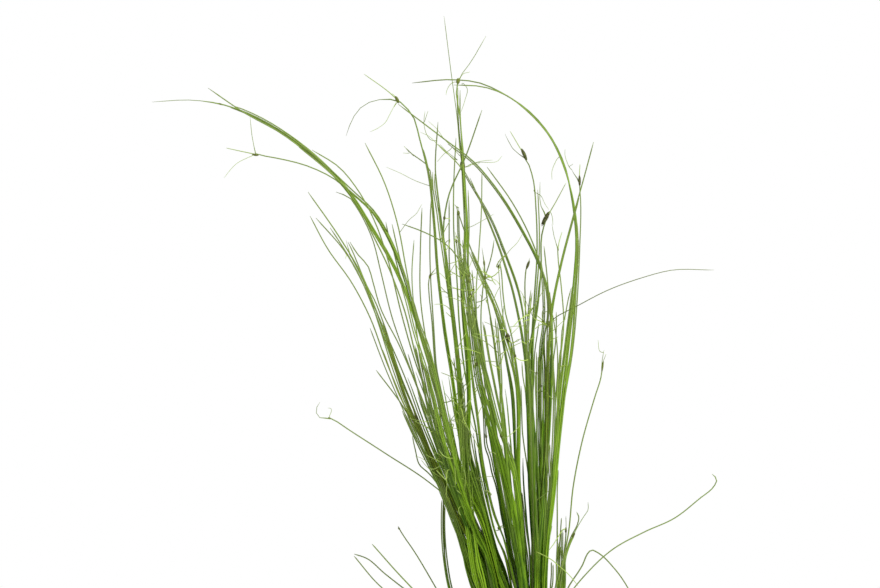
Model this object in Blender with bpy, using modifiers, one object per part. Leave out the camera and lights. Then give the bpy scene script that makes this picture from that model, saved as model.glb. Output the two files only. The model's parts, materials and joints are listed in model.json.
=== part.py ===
"""Potted spikerush: a tuft of hair-thin arching culms, many with a plantlet sprouting from the
spikelet at the tip, rooted in a stone-wool plug inside a small slotted plastic pot.
Units are metres. +Z is up, the origin is the centre of the pot's base, and -Y is the front."""

import math
from collections import namedtuple

import bmesh
import bpy
import mathutils
import numpy as np

MM = 0.001
GAP = 0.3 * MM  # between pieces that touch

# Pot: a moulded taper with a rolled rim and narrow slots, too fine for the wool to come out.
POT_HEIGHT = 50 * MM
POT_BASE_R = 18.5 * MM
POT_RIM_R = 23.5 * MM
POT_WALL = 1.2 * MM
RIM_OVERHANG = 1.8 * MM
RIM_DROP = 4 * MM
POT_CHAMFER = 0.6 * MM
SLOTS = 8
SLOT_WIDTH = 2.4 * MM
SLOT_FOOT = 5 * MM
SLOT_TOP = 30 * MM
SLOT_CORNER = POT_BASE_R - 3 * POT_WALL  # from the pot's axis to where the slots in its floor end
FLOOR_SLOT_IN = 7 * MM  # and to where they begin
TURNED_STEPS = 32
SHARP_ANGLE = math.radians(35)
MERGE = 0.01 * MM

# Plug: stone wool, filled to just under the rim.
PLUG_TOP = 47 * MM
PLUG_SOCKET = 6 * MM  # how deep a culm's foot stands in the wool
SOCKET_SIDES = 6
CROWN_R = 18.5 * MM  # the feet spread over a disc of this radius
ABOVE_CROWN = 5 * MM  # a culm is upright up to this height over the wool

# Culms: a tube that tapers from the foot to the tip.
CULM_FOOT_R = 0.46 * MM
CULM_TIP_R = 0.24 * MM
TAPER_POWER = 2  # the taper comes late: a culm keeps most of its width up to the middle
LEAN_POWERS = (1.25, 1.85)  # the lean too, so that a culm leaves the crown upright and arches out
CURVE_STEPS = 500
STRETCH_STEPS = 24  # of the curve between two points of a route
RING_SPACING = 30 * MM
LEAST_SPACING = 1 * MM
LEAST_RINGS = 4
BEND_COST = 55 * MM  # a turn of one radian takes as many rings as this much of a straight culm
SPIKELET_LENGTH = 7 * MM
SPIKELET_R = 1.15 * MM
SPINDLE = (-0.5, -0.1, 0.5)  # a spikelet's foot, widest ring and tip, as shares of its length
SPINDLE_CLEAR = 3 * MM  # a culm has no other ring so close to its spikelet
SHOOT_R = 0.3 * MM
SHOOT_RINGS = 3  # more than the points of its route
SHOOT_LEAN = 9 * MM  # how far a side shoot's tip lies behind or in front of its spikelet
GOLDEN_ANGLE = math.pi * (3 - math.sqrt(5))

# Tubes that would touch are moved apart by this gap, in at most so many rounds.
CLEARANCE = 0.4 * MM
REACH = 4 * MM  # tubes further apart than this at the start are not compared
SPREAD_ROUNDS = 80
PUSH_SHARES = (1, 2, 1)  # twice as far in depth as across
HELD_RINGS = 3  # the lowest, in the wool and just over it, stay in place
TINY = 1e-9

STRAND_SIDES = 6
CULM_SIDES = 4
THICK_STRAND = 3  # culms: a strand of so many has more sides
OLD_CULMS = (15, 17, 51)  # the rows that have gone olive brown

# The front view that the routes are given in: level, from this far away.
EYE_DISTANCE = 1200 * MM
EYE_X = -40 * MM
EYE_Z = 178 * MM  # over the top of the plug

# Each row: how many culms cling together, how far the tip leans back (+) or forward (-),
# the place of the spikelet in the route (0 for none), and the route from the tip down as
# (right of the pot's axis, over the plug's top), in millimetres in the front view. A plantlet's
# side shoots are routes of the same kind, from their tips down to the spikelet.
Culm = namedtuple("Culm", "count lean spikelet route shoots", defaults=[()])
CULMS = [
    # The long bundle that arches over to the upper left, and its followers
    Culm(4, 12, 2, [(-184, 274), (-166, 275), (-150, 273), (-129, 265), (-108, 251), (-88, 232),
                    (-76, 214), (-62, 190), (-56, 176), (-50, 160), (-45, 142), (-36, 110)]),
    Culm(3, -10, 0, [(-156, 281), (-143, 272), (-118, 258), (-100, 244), (-86, 231), (-74, 220),
                     (-66, 207), (-60, 194), (-55, 177), (-51, 163), (-44.5, 145), (-33, 105)]),
    Culm(1, -28, 0, [(-104, 250), (-90, 241), (-78, 225), (-69, 205), (-62, 179), (-55, 152),
                     (-46, 127), (-37, 100)]),
    Culm(1, 30, 1, [(-147, 251), (-133, 248), (-113, 244), (-99, 239), (-87, 231), (-73, 206),
                    (-61, 180), (-51.5, 145), (-45.5, 125), (-41, 110)],
         shoots=[[(-135, 267), (-134, 257)], [(-148, 236), (-142, 243)]]),
    Culm(1, -45, 0, [(-77.5, 253.5), (-70, 239), (-62, 216), (-57, 191), (-54, 174), (-45.5, 145),
                     (-36, 110)]),
    Culm(1, 38, 0, [(-92, 229), (-85, 226), (-80, 218), (-74, 206), (-67, 177), (-62, 160),
                    (-53, 136), (-41, 105)]),
    Culm(1, -60, 0, [(-64, 213), (-62, 202), (-59, 192), (-53, 172), (-48, 152), (-40, 125),
                     (-31, 90)]),
    # The thin fan below it on the left
    Culm(2, -20, 0, [(-106, 229), (-95, 213), (-86, 200), (-76, 180), (-69, 161), (-60, 135),
                     (-50, 107), (-38, 80), (-27.5, 54), (-22.5, 31)]),
    Culm(1, 25, 0, [(-105, 217), (-99, 205), (-93, 196), (-85, 185), (-74, 164), (-65, 139),
                    (-55, 116), (-45, 92), (-34, 68), (-29, 54), (-24.5, 34)]),
    Culm(1, -40, 0, [(-102, 216), (-94, 207), (-86, 197), (-80, 186), (-73, 172), (-66, 156),
                     (-60.5, 143), (-55, 130), (-49, 113), (-43.5, 101)]),
    Culm(1, 45, 1, [(-87, 205), (-85, 198), (-80, 189), (-75, 175), (-67, 152), (-61, 132),
                    (-52, 112), (-41, 87)]),
    Culm(1, -55, 0, [(-85, 204), (-83, 200), (-79, 196), (-75, 190), (-73, 181), (-71, 174),
                     (-65, 162), (-57, 145), (-48, 122), (-38, 92)]),
    Culm(1, 60, 0, [(-75, 161), (-70, 147), (-65, 136), (-60, 124), (-54, 109), (-47, 94), (-39, 79),
                    (-28.5, 54), (-23.5, 31)]),
    Culm(1, -35, 0, [(-72, 140), (-66, 132), (-60, 124), (-53, 112), (-45, 96)]),
    Culm(3, -8, 1, [(-69, 165), (-67, 158), (-62, 142), (-58, 132), (-51, 115), (-43, 94),
                    (-32.5, 66), (-27, 50), (-23.5, 34)]),
    # Low culms that lean or hang out on the left
    Culm(1, -25, 3, [(-100, 124), (-102, 119), (-100, 116), (-96, 116), (-87, 111), (-70, 100),
                     (-50, 87), (-38, 78), (-27, 62), (-20, 45), (-16, 31)],
         shoots=[[(-96, 121)]]),
    Culm(2, -14, 1, [(-54, 122), (-52, 116), (-46, 101), (-41, 87), (-38, 76), (-38, 65), (-38, 54),
                     (-37, 42), (-35, 31), (-31, 19), (-26, 10)]),
    Culm(1, 30, 1, [(-61, 62), (-60, 60), (-54, 51), (-48, 41), (-42, 31), (-35, 19), (-27, 11)]),
    Culm(1, -32, 0, [(-74, 53), (-65, 43), (-56, 33), (-47, 24), (-35, 14)]),
    Culm(1, 8, 0, [(-83, 48), (-79, 47), (-70, 40), (-58, 31), (-45, 21), (-32, 12)]),
    Culm(1, -12, 0, [(-83, 47), (-78, 41), (-69, 31), (-57, 22), (-42, 14), (-30, 10)]),
    # The upright middle of the tuft
    Culm(3, 20, 2, [(-78, 288), (-70, 282), (-61.5, 275.5), (-53.5, 267), (-50, 255), (-46, 239),
                    (-44, 222), (-42, 202), (-40.5, 180), (-37.5, 162), (-34.5, 140), (-31, 117),
                    (-27, 92)],
         shoots=[[(-87, 257), (-84, 265), (-80, 271), (-72, 275)], [(-75, 259), (-68, 263), (-64.5, 269)]]),
    Culm(2, -30, 0, [(-61, 273), (-53, 267), (-40, 257), (-32, 251), (-20, 241), (-8, 225),
                     (0, 212), (7, 199), (12, 187), (15, 175), (16, 150), (15, 115)]),
    Culm(3, -48, 0, [(-41, 264), (-42, 250), (-42, 235), (-40, 220), (-38, 205), (-36, 192),
                     (-34, 175), (-31, 152), (-29, 130), (-27, 110)]),
    Culm(1, 55, 1, [(-57, 251), (-54, 248), (-46, 242), (-44, 232), (-45, 215), (-45, 195),
                    (-44, 175), (-42, 152), (-38, 130), (-32, 105)]),
    Culm(3, 10, 5, [(-38, 317), (-34.5, 289), (-33, 275), (-31, 263), (-30, 250), (-29, 242),
                    (-27, 225), (-26, 208), (-26, 187), (-25, 168), (-22, 150), (-18, 130),
                    (-15.5, 107), (-11, 82), (-7, 60)],
         shoots=[[(-9, 247), (-12, 244), (-20, 244)], [(-41, 253), (-36, 248)]]),
    Culm(3, -15, 3, [(-17, 307), (-23, 296), (-29, 288), (-31, 284), (-30, 268), (-29, 249),
                     (-28, 235), (-27, 220), (-27, 200), (-28, 185), (-28, 170), (-26, 152),
                     (-25, 125), (-25, 100)]),
    Culm(2, 50, 0, [(-32, 256), (-33, 242), (-33, 225), (-33, 205), (-31.5, 185), (-30.5, 165),
                    (-28.5, 145), (-23, 115), (-18, 85), (-13.5, 65)]),
    Culm(2, -62, 0, [(-19, 270), (-23, 258), (-27, 247), (-32, 236), (-36, 226), (-38, 215),
                     (-38, 201), (-36, 185), (-34, 170), (-32, 152), (-30, 130), (-28, 105)]),
    Culm(1, 92, 0, [(-19, 239), (-19, 225), (-20, 210), (-21, 192), (-22, 175), (-21, 157),
                    (-18, 137), (-16, 115), (-12.5, 90), (-8.5, 65)]),
    Culm(3, 70, 0, [(-32, 222), (-28, 210), (-24, 199), (-18, 185), (-14.5, 175), (-11, 165),
                    (-7.5, 149), (-5, 138), (-4, 126), (-3.5, 115), (-2.5, 95)]),
    Culm(3, -95, 1, [(-19, 201), (-18, 194), (-17, 180), (-14, 162), (-11.5, 145), (-9, 125),
                     (-6.5, 105), (-5, 85)]),
    Culm(3, -35, 0, [(-24, 190), (-23, 175), (-20, 155), (-16, 135), (-13, 115), (-10, 95)]),
    Culm(1, 80, 0, [(-53, 205), (-54, 197), (-54, 187), (-53, 172), (-51.5, 157), (-49.5, 145),
                    (-45.5, 125), (-41, 110), (-35, 92)]),
    Culm(1, -85, 0, [(-49, 221), (-49, 212), (-50, 195), (-50, 181), (-49, 167), (-46, 150),
                     (-42, 130), (-36, 105)]),
    Culm(2, 65, 1, [(-42, 191), (-45, 187), (-45, 175), (-43, 157), (-41, 139), (-37, 125),
                    (-32, 105)]),
    Culm(1, -30, 0, [(-59, 213), (-52, 211), (-45, 207), (-36, 202), (-31, 196), (-28, 185),
                     (-26, 170), (-25, 150), (-22, 125), (-18, 95)]),
    # The right half: two arches that cross the middle, then the culms under them
    Culm(3, 35, 0, [(-54, 283.5), (-41, 285), (-30, 285), (-20, 283.5), (-10, 279), (0, 273),
                    (9, 265), (18, 252), (23, 240), (26, 225), (28, 197), (25.8, 177), (23.5, 155),
                    (21.8, 135), (19.5, 110), (17.5, 85)]),
    Culm(3, -25, 0, [(-33, 282.5), (-26, 282.5), (-16, 281), (-3, 275), (6, 267), (16.5, 254),
                     (21.7, 242), (25.3, 230), (28, 216), (28.8, 197), (27.3, 175), (26, 155),
                     (23.8, 132), (21.3, 110), (18.8, 85)]),
    Culm(2, -50, 0, [(36.8, 254), (35, 245), (31.3, 234), (27, 218), (23, 202), (20, 191),
                     (17.3, 179), (15.3, 165), (14, 145), (13, 120), (12, 95)]),
    Culm(1, 60, 1, [(30, 243), (29.7, 235), (30.3, 225), (30, 205), (29, 182), (28, 165), (26, 145),
                    (23.5, 125), (20.8, 105), (18.5, 85)],
         shoots=[[(26, 240), (27, 238)]]),
    Culm(2, 72, 2, [(-5, 259.5), (-1.5, 253), (3, 246), (5.8, 239), (7.5, 227), (8.6, 212),
                    (8.6, 195), (7.3, 175), (6, 152), (6, 125), (6, 100)],
         shoots=[[(-7.5, 258), (-3, 250)]]),
    Culm(2, -70, 2, [(23, 233.5), (18.8, 225), (13.8, 217), (11.3, 210), (10.6, 202), (10.3, 187),
                     (8.5, 170), (5, 152), (4, 125), (4, 100)],
         shoots=[[(10, 234), (10.5, 222)]]),
    Culm(1, -88, 0, [(12, 202), (13, 194), (14, 182), (15, 170), (16, 150), (17, 125), (17, 100)]),
    Culm(1, 85, 1, [(21, 209), (19, 201), (20, 190), (21, 177), (22, 165), (21, 150), (20, 130),
                    (19, 110), (18, 85)],
         shoots=[[(16, 213), (17, 207)]]),
    Culm(1, -100, 1, [(5, 196), (3.2, 191), (2.8, 180), (2.8, 165), (3, 150), (4, 135), (5, 110)]),
    Culm(3, 28, 0, [(-25, 236), (-22, 230), (-16, 215), (-12, 205), (-8, 194), (-5, 184), (-2, 172),
                    (1, 157), (3, 142), (4, 125), (5, 100)]),
    Culm(2, -40, 0, [(-16.5, 241.5), (-10, 233), (-2.5, 221.5), (5, 207), (8, 199), (13, 181),
                     (14, 170), (11.5, 152), (10.5, 140), (10.4, 125), (10.4, 100), (8, 65)]),
    Culm(1, 95, 0, [(-10, 203), (-7, 197), (-4, 190), (0, 176), (2, 165), (3, 150), (5, 130),
                    (7, 105)]),
    Culm(3, -75, 3, [(-11, 194), (-10, 180), (-8, 167), (-6, 156), (-4, 142), (-1, 125), (0, 105),
                     (0, 82), (1.5, 70), (3, 50)]),
    Culm(3, 15, 7, [(97, 190), (89, 190), (70, 189), (54, 183), (42, 179), (29, 172), (20, 167),
                    (14, 163), (13, 152), (13, 130), (13, 105)],
         shoots=[[(6, 169), (10, 166)]]),
    # Low culms on the right
    Culm(1, -20, 0, [(96, 88), (98, 86), (89, 75), (74, 64), (60, 58), (42, 47), (34, 39), (27, 31),
                     (20, 19)]),
    Culm(1, 30, 0, [(60, 14), (54, 31), (47, 41), (41, 47), (36, 50), (31, 42), (24, 31), (20, 20)]),
    Culm(1, -22, 2, [(42, 150), (41, 144), (41, 140), (37, 125), (33, 111), (28.8, 95), (25.8, 75),
                     (23.8, 55)]),
    Culm(2, 18, 3, [(34, 74), (34, 70), (30.8, 65.5), (26.8, 57.5), (23.5, 50), (22, 40), (21, 31)]),
    Culm(1, -14, 0, [(28.3, 69), (29.3, 67), (28, 61), (25.3, 56), (23, 49), (20, 31)]),
    Culm(1, 10, 0, [(21, 66), (21, 60), (20, 50), (20, 31)]),
    Culm(2, -6, 1, [(23, 67), (23, 60), (22, 47), (22, 31)]),
]


def cleared_scene():
    for old in list(bpy.data.objects):
        bpy.data.objects.remove(old, do_unlink=True)


def new_collection(name, visible=True):
    collection = bpy.data.collections.new(name)
    bpy.context.scene.collection.children.link(collection)
    collection.hide_render = not visible
    return collection


def new_material(name, colour, roughness):
    material = bpy.data.materials.new(name)
    material.use_nodes = True
    shader = material.node_tree.nodes["Principled BSDF"]
    shader.inputs["Base Color"].default_value = (*colour, 1)
    shader.inputs["Roughness"].default_value = roughness
    return material


def new_object(name, data, collection, material=None):
    thing = bpy.data.objects.new(name, data)
    collection.objects.link(thing)
    if material:
        data.materials.append(material)
    return thing


def mesh_from(bm, name):
    """A mesh from this bmesh, with its normals out."""
    bmesh.ops.recalc_face_normals(bm, faces=bm.faces)
    mesh = bpy.data.meshes.new(name)
    bm.to_mesh(mesh)
    bm.free()
    return mesh


def boolean(thing, other, operation):
    modifier = thing.modifiers.new(other.name, "BOOLEAN")
    modifier.operation = operation
    modifier.object = other


def as_cutter(thing):
    thing.hide_render = True
    thing.display_type = "WIRE"
    return thing


def wall_radius(z):
    """The pot's outside radius at this height: a straight taper from the base to the rim."""
    return POT_BASE_R + (POT_RIM_R - POT_BASE_R) * z / POT_HEIGHT


def turned(name, profile, collection, material):
    """A Screw of this (radius, height) profile, which runs down the outside."""
    mesh = bpy.data.meshes.new(name)
    edges = [(i, i + 1) for i in range(len(profile) - 1)]
    mesh.from_pydata([(r, 0, z) for r, z in profile], edges, [])
    thing = new_object(name, mesh, collection, material)
    screw = thing.modifiers.new("turn", "SCREW")
    screw.steps = screw.render_steps = TURNED_STEPS
    screw.use_merge_vertices = True
    screw.merge_threshold = MERGE
    return thing


def shaded_round(thing):
    """Applies the object's modifiers, and shades its curved faces smooth between sharp edges."""
    graph = bpy.context.evaluated_depsgraph_get()
    graph.update()
    mesh = bpy.data.meshes.new_from_object(thing.evaluated_get(graph), depsgraph=graph)
    mesh.shade_smooth()
    mesh.set_sharp_from_angle(angle=SHARP_ANGLE)
    thing.modifiers.clear()
    thing.data = mesh


def slot_cutters(name, low, high, collection):
    """One mesh of boxes around the pot's axis, each from low to high in (out, up), one slot wide."""
    bm = bmesh.new()
    for i in range(SLOTS):
        box = bmesh.ops.create_cube(bm, size=1)["verts"]
        for vert in box:
            vert.co.x = high[0] if vert.co.x > 0 else low[0]
            vert.co.y *= SLOT_WIDTH
            vert.co.z = high[1] if vert.co.z > 0 else low[1]
        # Each slot is in the middle of one of the wall's flats
        turn = 2 * math.pi * (i / SLOTS + 0.5 / TURNED_STEPS)
        bmesh.ops.rotate(bm, verts=box, matrix=mathutils.Matrix.Rotation(turn, 3, "Z"))
    return as_cutter(new_object(name, mesh_from(bm, name), collection))


def make_pot(collection, cutters):
    rim_out = POT_RIM_R + RIM_OVERHANG
    top, chamfer = POT_HEIGHT, POT_CHAMFER
    profile = [
        (0, POT_WALL),
        (wall_radius(POT_WALL) - POT_WALL, POT_WALL),
        (POT_RIM_R - POT_WALL, top - chamfer),
        (POT_RIM_R - POT_WALL + chamfer, top),
        (rim_out - chamfer, top),
        (rim_out, top - chamfer),
        (rim_out, top - RIM_DROP + chamfer),
        (rim_out - chamfer, top - RIM_DROP),
        (wall_radius(top - RIM_DROP), top - RIM_DROP),
        (wall_radius(chamfer), chamfer),
        (POT_BASE_R - chamfer, 0),
        (0, 0),
    ]
    pot = turned("pot", profile, collection, new_material("black plastic", (0.02, 0.02, 0.022), 0.45))
    wall = slot_cutters("wall_slots", (SLOT_CORNER, SLOT_FOOT), (rim_out, SLOT_TOP), cutters)
    floor = slot_cutters("floor_slots", (FLOOR_SLOT_IN, -POT_WALL), (SLOT_CORNER, 2 * POT_WALL), cutters)
    boolean(pot, wall, "DIFFERENCE")
    boolean(pot, floor, "DIFFERENCE")
    shaded_round(pot)


def make_plug(culms, collection, cutters):
    """The wool fills the pot's taper, and has one socket for each culm's foot."""
    low, high = POT_WALL + GAP, PLUG_TOP
    profile = [
        (0, high),
        (wall_radius(high) - POT_WALL - 2 * GAP, high),
        (wall_radius(low) - POT_WALL - 2 * GAP, low),
        (0, low),
    ]
    wool = new_material("stone wool", (0.32, 0.27, 0.17), 0.95)
    plug = turned("wool_plug", profile, collection, wool)
    bm = bmesh.new()
    depth = 2 * (PLUG_SOCKET + GAP)
    for culm in culms:
        x, y, _ = culm["points"][0]
        # The socket's flats clear the tube
        radius = (culm["radii"][0] + GAP) / math.cos(math.pi / SOCKET_SIDES)
        place = mathutils.Matrix.Translation((x, y, PLUG_TOP))
        sides = {"segments": SOCKET_SIDES, "radius1": radius, "radius2": radius}
        bmesh.ops.create_cone(bm, cap_ends=True, depth=depth, matrix=place, **sides)
    sockets = as_cutter(new_object("sockets", mesh_from(bm, "sockets"), cutters))
    boolean(plug, sockets, "DIFFERENCE")
    shaded_round(plug)


def through(points, count):
    """A smooth curve through the points, as count points evenly spaced along it.

    Each stretch is a cubic Hermite whose end slopes weigh its neighbours' slopes by their lengths."""
    points = np.asarray(points, float)
    chord = np.linalg.norm(np.diff(points, axis=0), axis=1)[:, None]
    slope = np.diff(points, axis=0) / chord
    middle = (slope[:-1] * chord[1:] + slope[1:] * chord[:-1]) / (chord[:-1] + chord[1:])
    tangent = np.vstack([slope[:1], middle, slope[-1:]])
    t = np.linspace(0, 1, STRETCH_STEPS, endpoint=False)[None, :, None]
    start, end = points[:-1, None], points[1:, None]
    out, into = (tangent[:-1] * chord)[:, None], (tangent[1:] * chord)[:, None]
    curve = (
        (2 * t**3 - 3 * t**2 + 1) * start
        + (t**3 - 2 * t**2 + t) * out
        + (3 * t**2 - 2 * t**3) * end
        + (t**3 - t**2) * into
    )
    curve = np.vstack([curve.reshape(-1, points.shape[1]), points[-1:]])
    run = run_along(curve)
    wanted = np.linspace(0, run[-1], count)
    return np.stack([np.interp(wanted, run, column) for column in curve.T], axis=1)


def run_along(points):
    """The distance along a line of points, from the first."""
    return np.concatenate([[0], np.cumsum(np.linalg.norm(np.diff(points, axis=0), axis=1))])


def ring_places(curve):
    """Where along the curve its rings go: evenly, and closer together where it bends."""
    step = np.diff(curve, axis=0)
    length = np.linalg.norm(step, axis=1)
    heading = step / length[:, None]
    turning = np.arccos(np.clip((heading[1:] * heading[:-1]).sum(1), -1, 1))
    cost = np.concatenate([[0], np.cumsum(length + BEND_COST * np.append(turning, 0))])
    rings = max(LEAST_RINGS, math.ceil(cost[-1] / RING_SPACING) + 1)
    return np.interp(np.linspace(0, cost[-1], rings), cost, run_along(curve))


def seen_at(route, depth):
    """(x, y, z) of the points of a front-view route that lie at these depths.

    What is further off is wider and taller by the same share, to look the same from the eye."""
    grow = 1 + depth / EYE_DISTANCE
    x = EYE_X + (route[:, 0] * MM - EYE_X) * grow
    z = EYE_Z + (route[:, 1] * MM - EYE_Z) * grow
    return np.stack([x, depth, PLUG_TOP + z], axis=1)


def feet_of(culms):
    """A foot on the crown for each culm, so that few culms cross: the feet lie in a sunflower's
    spiral and are dealt out in columns from left to right, each from front to back by lean."""
    count = len(culms)
    index = np.arange(count)
    radius = CROWN_R * np.sqrt((index + 0.5) / count)
    feet = np.stack([radius * np.cos(index * GOLDEN_ANGLE), radius * np.sin(index * GOLDEN_ANGLE)], 1)
    feet = feet[np.argsort(feet[:, 0])]
    order = np.argsort([culm.route[-1][0] for culm in culms], kind="stable")
    dealt = np.empty((count, 2))
    for column in np.array_split(index, round(math.sqrt(count))):
        owners = order[column]
        front_to_back = owners[np.argsort([culms[i].lean for i in owners], kind="stable")]
        dealt[front_to_back] = feet[column][np.argsort(feet[column, 1])]
    return dealt


def grown(culm, foot, arch):
    """A culm's centre line and ring radii, from its foot in the wool up to its tip.
    Its lean comes as straight or as late as arch says, from 0 to 1."""
    route = np.array(culm.route[::-1], float)
    run = run_along(np.vstack([[foot[0] / MM, 0], route]))[1:]
    share = run / run[-1]
    power = LEAN_POWERS[0] + (LEAN_POWERS[1] - LEAN_POWERS[0]) * arch
    depth = foot[1] + (culm.lean * MM - foot[1]) * share**power
    bottom, top = PLUG_TOP - PLUG_SOCKET, PLUG_TOP + ABOVE_CROWN
    upright = [(*foot, bottom), (*foot, PLUG_TOP + GAP), (*foot, top)]
    curve = through(np.vstack([upright[1:], seen_at(route, depth)]), CURVE_STEPS)
    curve_run = run_along(curve)
    places = ring_places(curve)
    thick = math.sqrt(culm.count)
    node = None
    if culm.spikelet:
        at = seen_at(route, depth)[len(route) - 1 - culm.spikelet]
        node = curve_run[np.argmin(np.linalg.norm(curve - at, axis=1))]
        spindle = node + SPIKELET_LENGTH * np.array(SPINDLE)
        clear = (places < spindle[0] - SPINDLE_CLEAR) | (places > spindle[-1] + SPINDLE_CLEAR)
        places = np.sort(np.concatenate([places[clear], spindle, curve_run[-1:]]))
        places = places[np.append(np.diff(places) > LEAST_SPACING, True)]
    share = places / curve_run[-1]
    radii = CULM_TIP_R + (CULM_FOOT_R * thick - CULM_TIP_R) * (1 - share**TAPER_POWER)
    if culm.spikelet:
        radii = np.where(places > node, np.minimum(radii, SHOOT_R), radii)
        fat = np.argmin(abs(places - node))
        radii[fat] = SPIKELET_R
    points = np.stack([np.interp(places, curve_run, column) for column in curve.T], axis=1)
    points = np.vstack([upright[:1], points])
    radii = np.concatenate([radii[:1], radii])
    return {"points": points, "radii": radii, "node": None if node is None else 1 + fat}


def nearest(start_1, end_1, start_2, end_2):
    """The shares along two sets of segments at which each pair comes closest."""
    first, second, between = end_1 - start_1, end_2 - start_2, start_1 - start_2
    a, e = (first * first).sum(1), (second * second).sum(1)
    b, c, f = (first * second).sum(1), (first * between).sum(1), (second * between).sum(1)
    spread = np.maximum(a * e - b * b, TINY**2)
    s = np.clip((b * f - c * e) / spread, 0, 1)
    t = np.clip((b * s + f) / e, 0, 1)
    return np.clip((b * t - c) / a, 0, 1), t


def spread_apart(tubes):
    """Moves tubes that would touch apart, mostly in depth, a little at a time. A side shoot's first
    ring stays in its spikelet."""
    points = np.vstack([tube["points"] for tube in tubes])
    radii = np.concatenate([tube["radii"] for tube in tubes])
    lengths = [len(tube["points"]) for tube in tubes]
    firsts = np.cumsum([0, *lengths])
    segment = np.concatenate([np.arange(first, first + n - 1) for first, n in zip(firsts, lengths)])
    owner = np.concatenate([np.full(n - 1, tube["plant"]) for n, tube in zip(lengths, tubes)])
    free = np.ones(len(points))
    for first, tube in zip(firsts, tubes):
        free[first : first + tube["held"]] = 0
    low = np.minimum(points[segment], points[segment + 1]) - REACH
    high = np.maximum(points[segment], points[segment + 1]) + REACH
    i, j = np.triu_indices(len(segment), 1)
    near = (owner[i] != owner[j]) & (low[i] < high[j]).all(1) & (low[j] < high[i]).all(1)
    a, b = segment[i[near]], segment[j[near]]
    need = np.maximum(radii[a], radii[a + 1]) + np.maximum(radii[b], radii[b + 1]) + CLEARANCE
    for _ in range(SPREAD_ROUNDS):
        s, t = nearest(points[a], points[a + 1], points[b], points[b + 1])
        s, t = s[:, None], t[:, None]
        apart = (1 - s) * points[a] + s * points[a + 1] - (1 - t) * points[b] - t * points[b + 1]
        distance = np.linalg.norm(apart, axis=1)
        short = np.maximum(need - distance, 0)
        if short.max() == 0:
            break
        way = apart * PUSH_SHARES + (0, TINY, 0)
        way *= (0.5 * short / np.linalg.norm(way, axis=1))[:, None]
        push = np.zeros_like(points)
        for ends, weight, sign in ((a, 1 - s, 1), (a + 1, s, 1), (b, 1 - t, -1), (b + 1, t, -1)):
            np.add.at(push, ends, sign * weight * way)
        points += push * free[:, None]
        for first, tube in zip(firsts, tubes):
            if "root" in tube:
                owner_tube, ring = tube["root"]
                points[first] = points[firsts[owner_tube] + ring]
    for first, n, tube in zip(firsts, lengths, tubes):
        tube["points"] = points[first : first + n]


def side_shoots(culm, plant, tube):
    """The centre lines of a plantlet's side shoots, each from the middle of the spikelet out."""
    spikelet = tube["points"][tube["node"]]
    for number, route in enumerate(culm.shoots):
        route = np.array(route[::-1], float)
        share = np.arange(1, len(route) + 1) / len(route)
        depth = spikelet[1] + SHOOT_LEAN * share * (-1) ** number
        curve = through(np.vstack([spikelet, seen_at(route, depth)]), CURVE_STEPS)
        run = run_along(curve)
        places = np.linspace(0, run[-1], len(route) + SHOOT_RINGS)
        points = np.stack([np.interp(places, run, column) for column in curve.T], axis=1)
        radii = np.linspace(SHOOT_R, CULM_TIP_R, len(points))
        root = (plant, tube["node"])
        yield {"points": points, "radii": radii, "plant": plant, "held": 0, "root": root}


def tube_object(name, tube, sides, collection):
    """A curve with a bevel along the centre line. It has 4 sides, and 2 more for each level."""
    curve = bpy.data.curves.new(name, "CURVE")
    curve.dimensions = "3D"
    curve.bevel_depth = max(tube["radii"])
    curve.bevel_resolution = (sides - 4) // 2
    curve.use_fill_caps = True
    spline = curve.splines.new("POLY")
    spline.points.add(len(tube["points"]) - 1)
    ends = np.ones((len(tube["points"]), 1))
    spline.points.foreach_set("co", np.hstack([tube["points"], ends]).ravel())
    spline.points.foreach_set("radius", tube["radii"] / curve.bevel_depth)
    return new_object(name, curve, collection)


def as_mesh(thing):
    """Turns a curve object into a mesh object with welded caps."""
    graph = bpy.context.evaluated_depsgraph_get()
    graph.update()
    mesh = bpy.data.meshes.new_from_object(thing.evaluated_get(graph))
    bm = bmesh.new()
    bm.from_mesh(mesh)
    bmesh.ops.remove_doubles(bm, verts=bm.verts, dist=MERGE)
    bmesh.ops.recalc_face_normals(bm, faces=bm.faces)
    bm.to_mesh(mesh)
    bm.free()
    name, collection = thing.name, thing.users_collection[0]
    bpy.data.objects.remove(thing, do_unlink=True)
    return new_object(name, mesh, collection)


def make_culms(tubes, collection, helpers):
    fresh = new_material("green culm", (0.17, 0.33, 0.04), 0.45)
    old = new_material("olive culm", (0.13, 0.14, 0.03), 0.55)
    for number, culm in enumerate(CULMS):
        kind = "strand" if culm.count > 1 else "culm"
        name = f"{kind}_{number + 1:02d}"
        main, *shoots = [tube for tube in tubes if tube["plant"] == number]
        sides = STRAND_SIDES if culm.count >= THICK_STRAND else CULM_SIDES
        thing = tube_object(name, main, sides, collection)
        if shoots:
            thing = as_mesh(thing)
        for i, shoot in enumerate(shoots):
            other = as_mesh(tube_object(f"{name}_shoot_{i}", shoot, CULM_SIDES, helpers))
            boolean(thing, as_cutter(other), "UNION")
        thing.data.materials.append(old if number + 1 in OLD_CULMS else fresh)


def make_spikerush():
    cleared_scene()
    collection = new_collection("potted_spikerush")
    cutters = new_collection("cutters", visible=False)
    tubes = []
    for number, (culm, foot) in enumerate(zip(CULMS, feet_of(CULMS))):
        arch = number * GOLDEN_ANGLE % 1
        tubes.append({**grown(culm, foot, arch), "plant": number, "held": HELD_RINGS})
    for number, culm in enumerate(CULMS):
        tubes += side_shoots(culm, number, tubes[number])
    spread_apart(tubes)
    make_pot(collection, cutters)
    make_plug(tubes[: len(CULMS)], collection, cutters)
    make_culms(tubes, collection, cutters)


make_spikerush()
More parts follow.
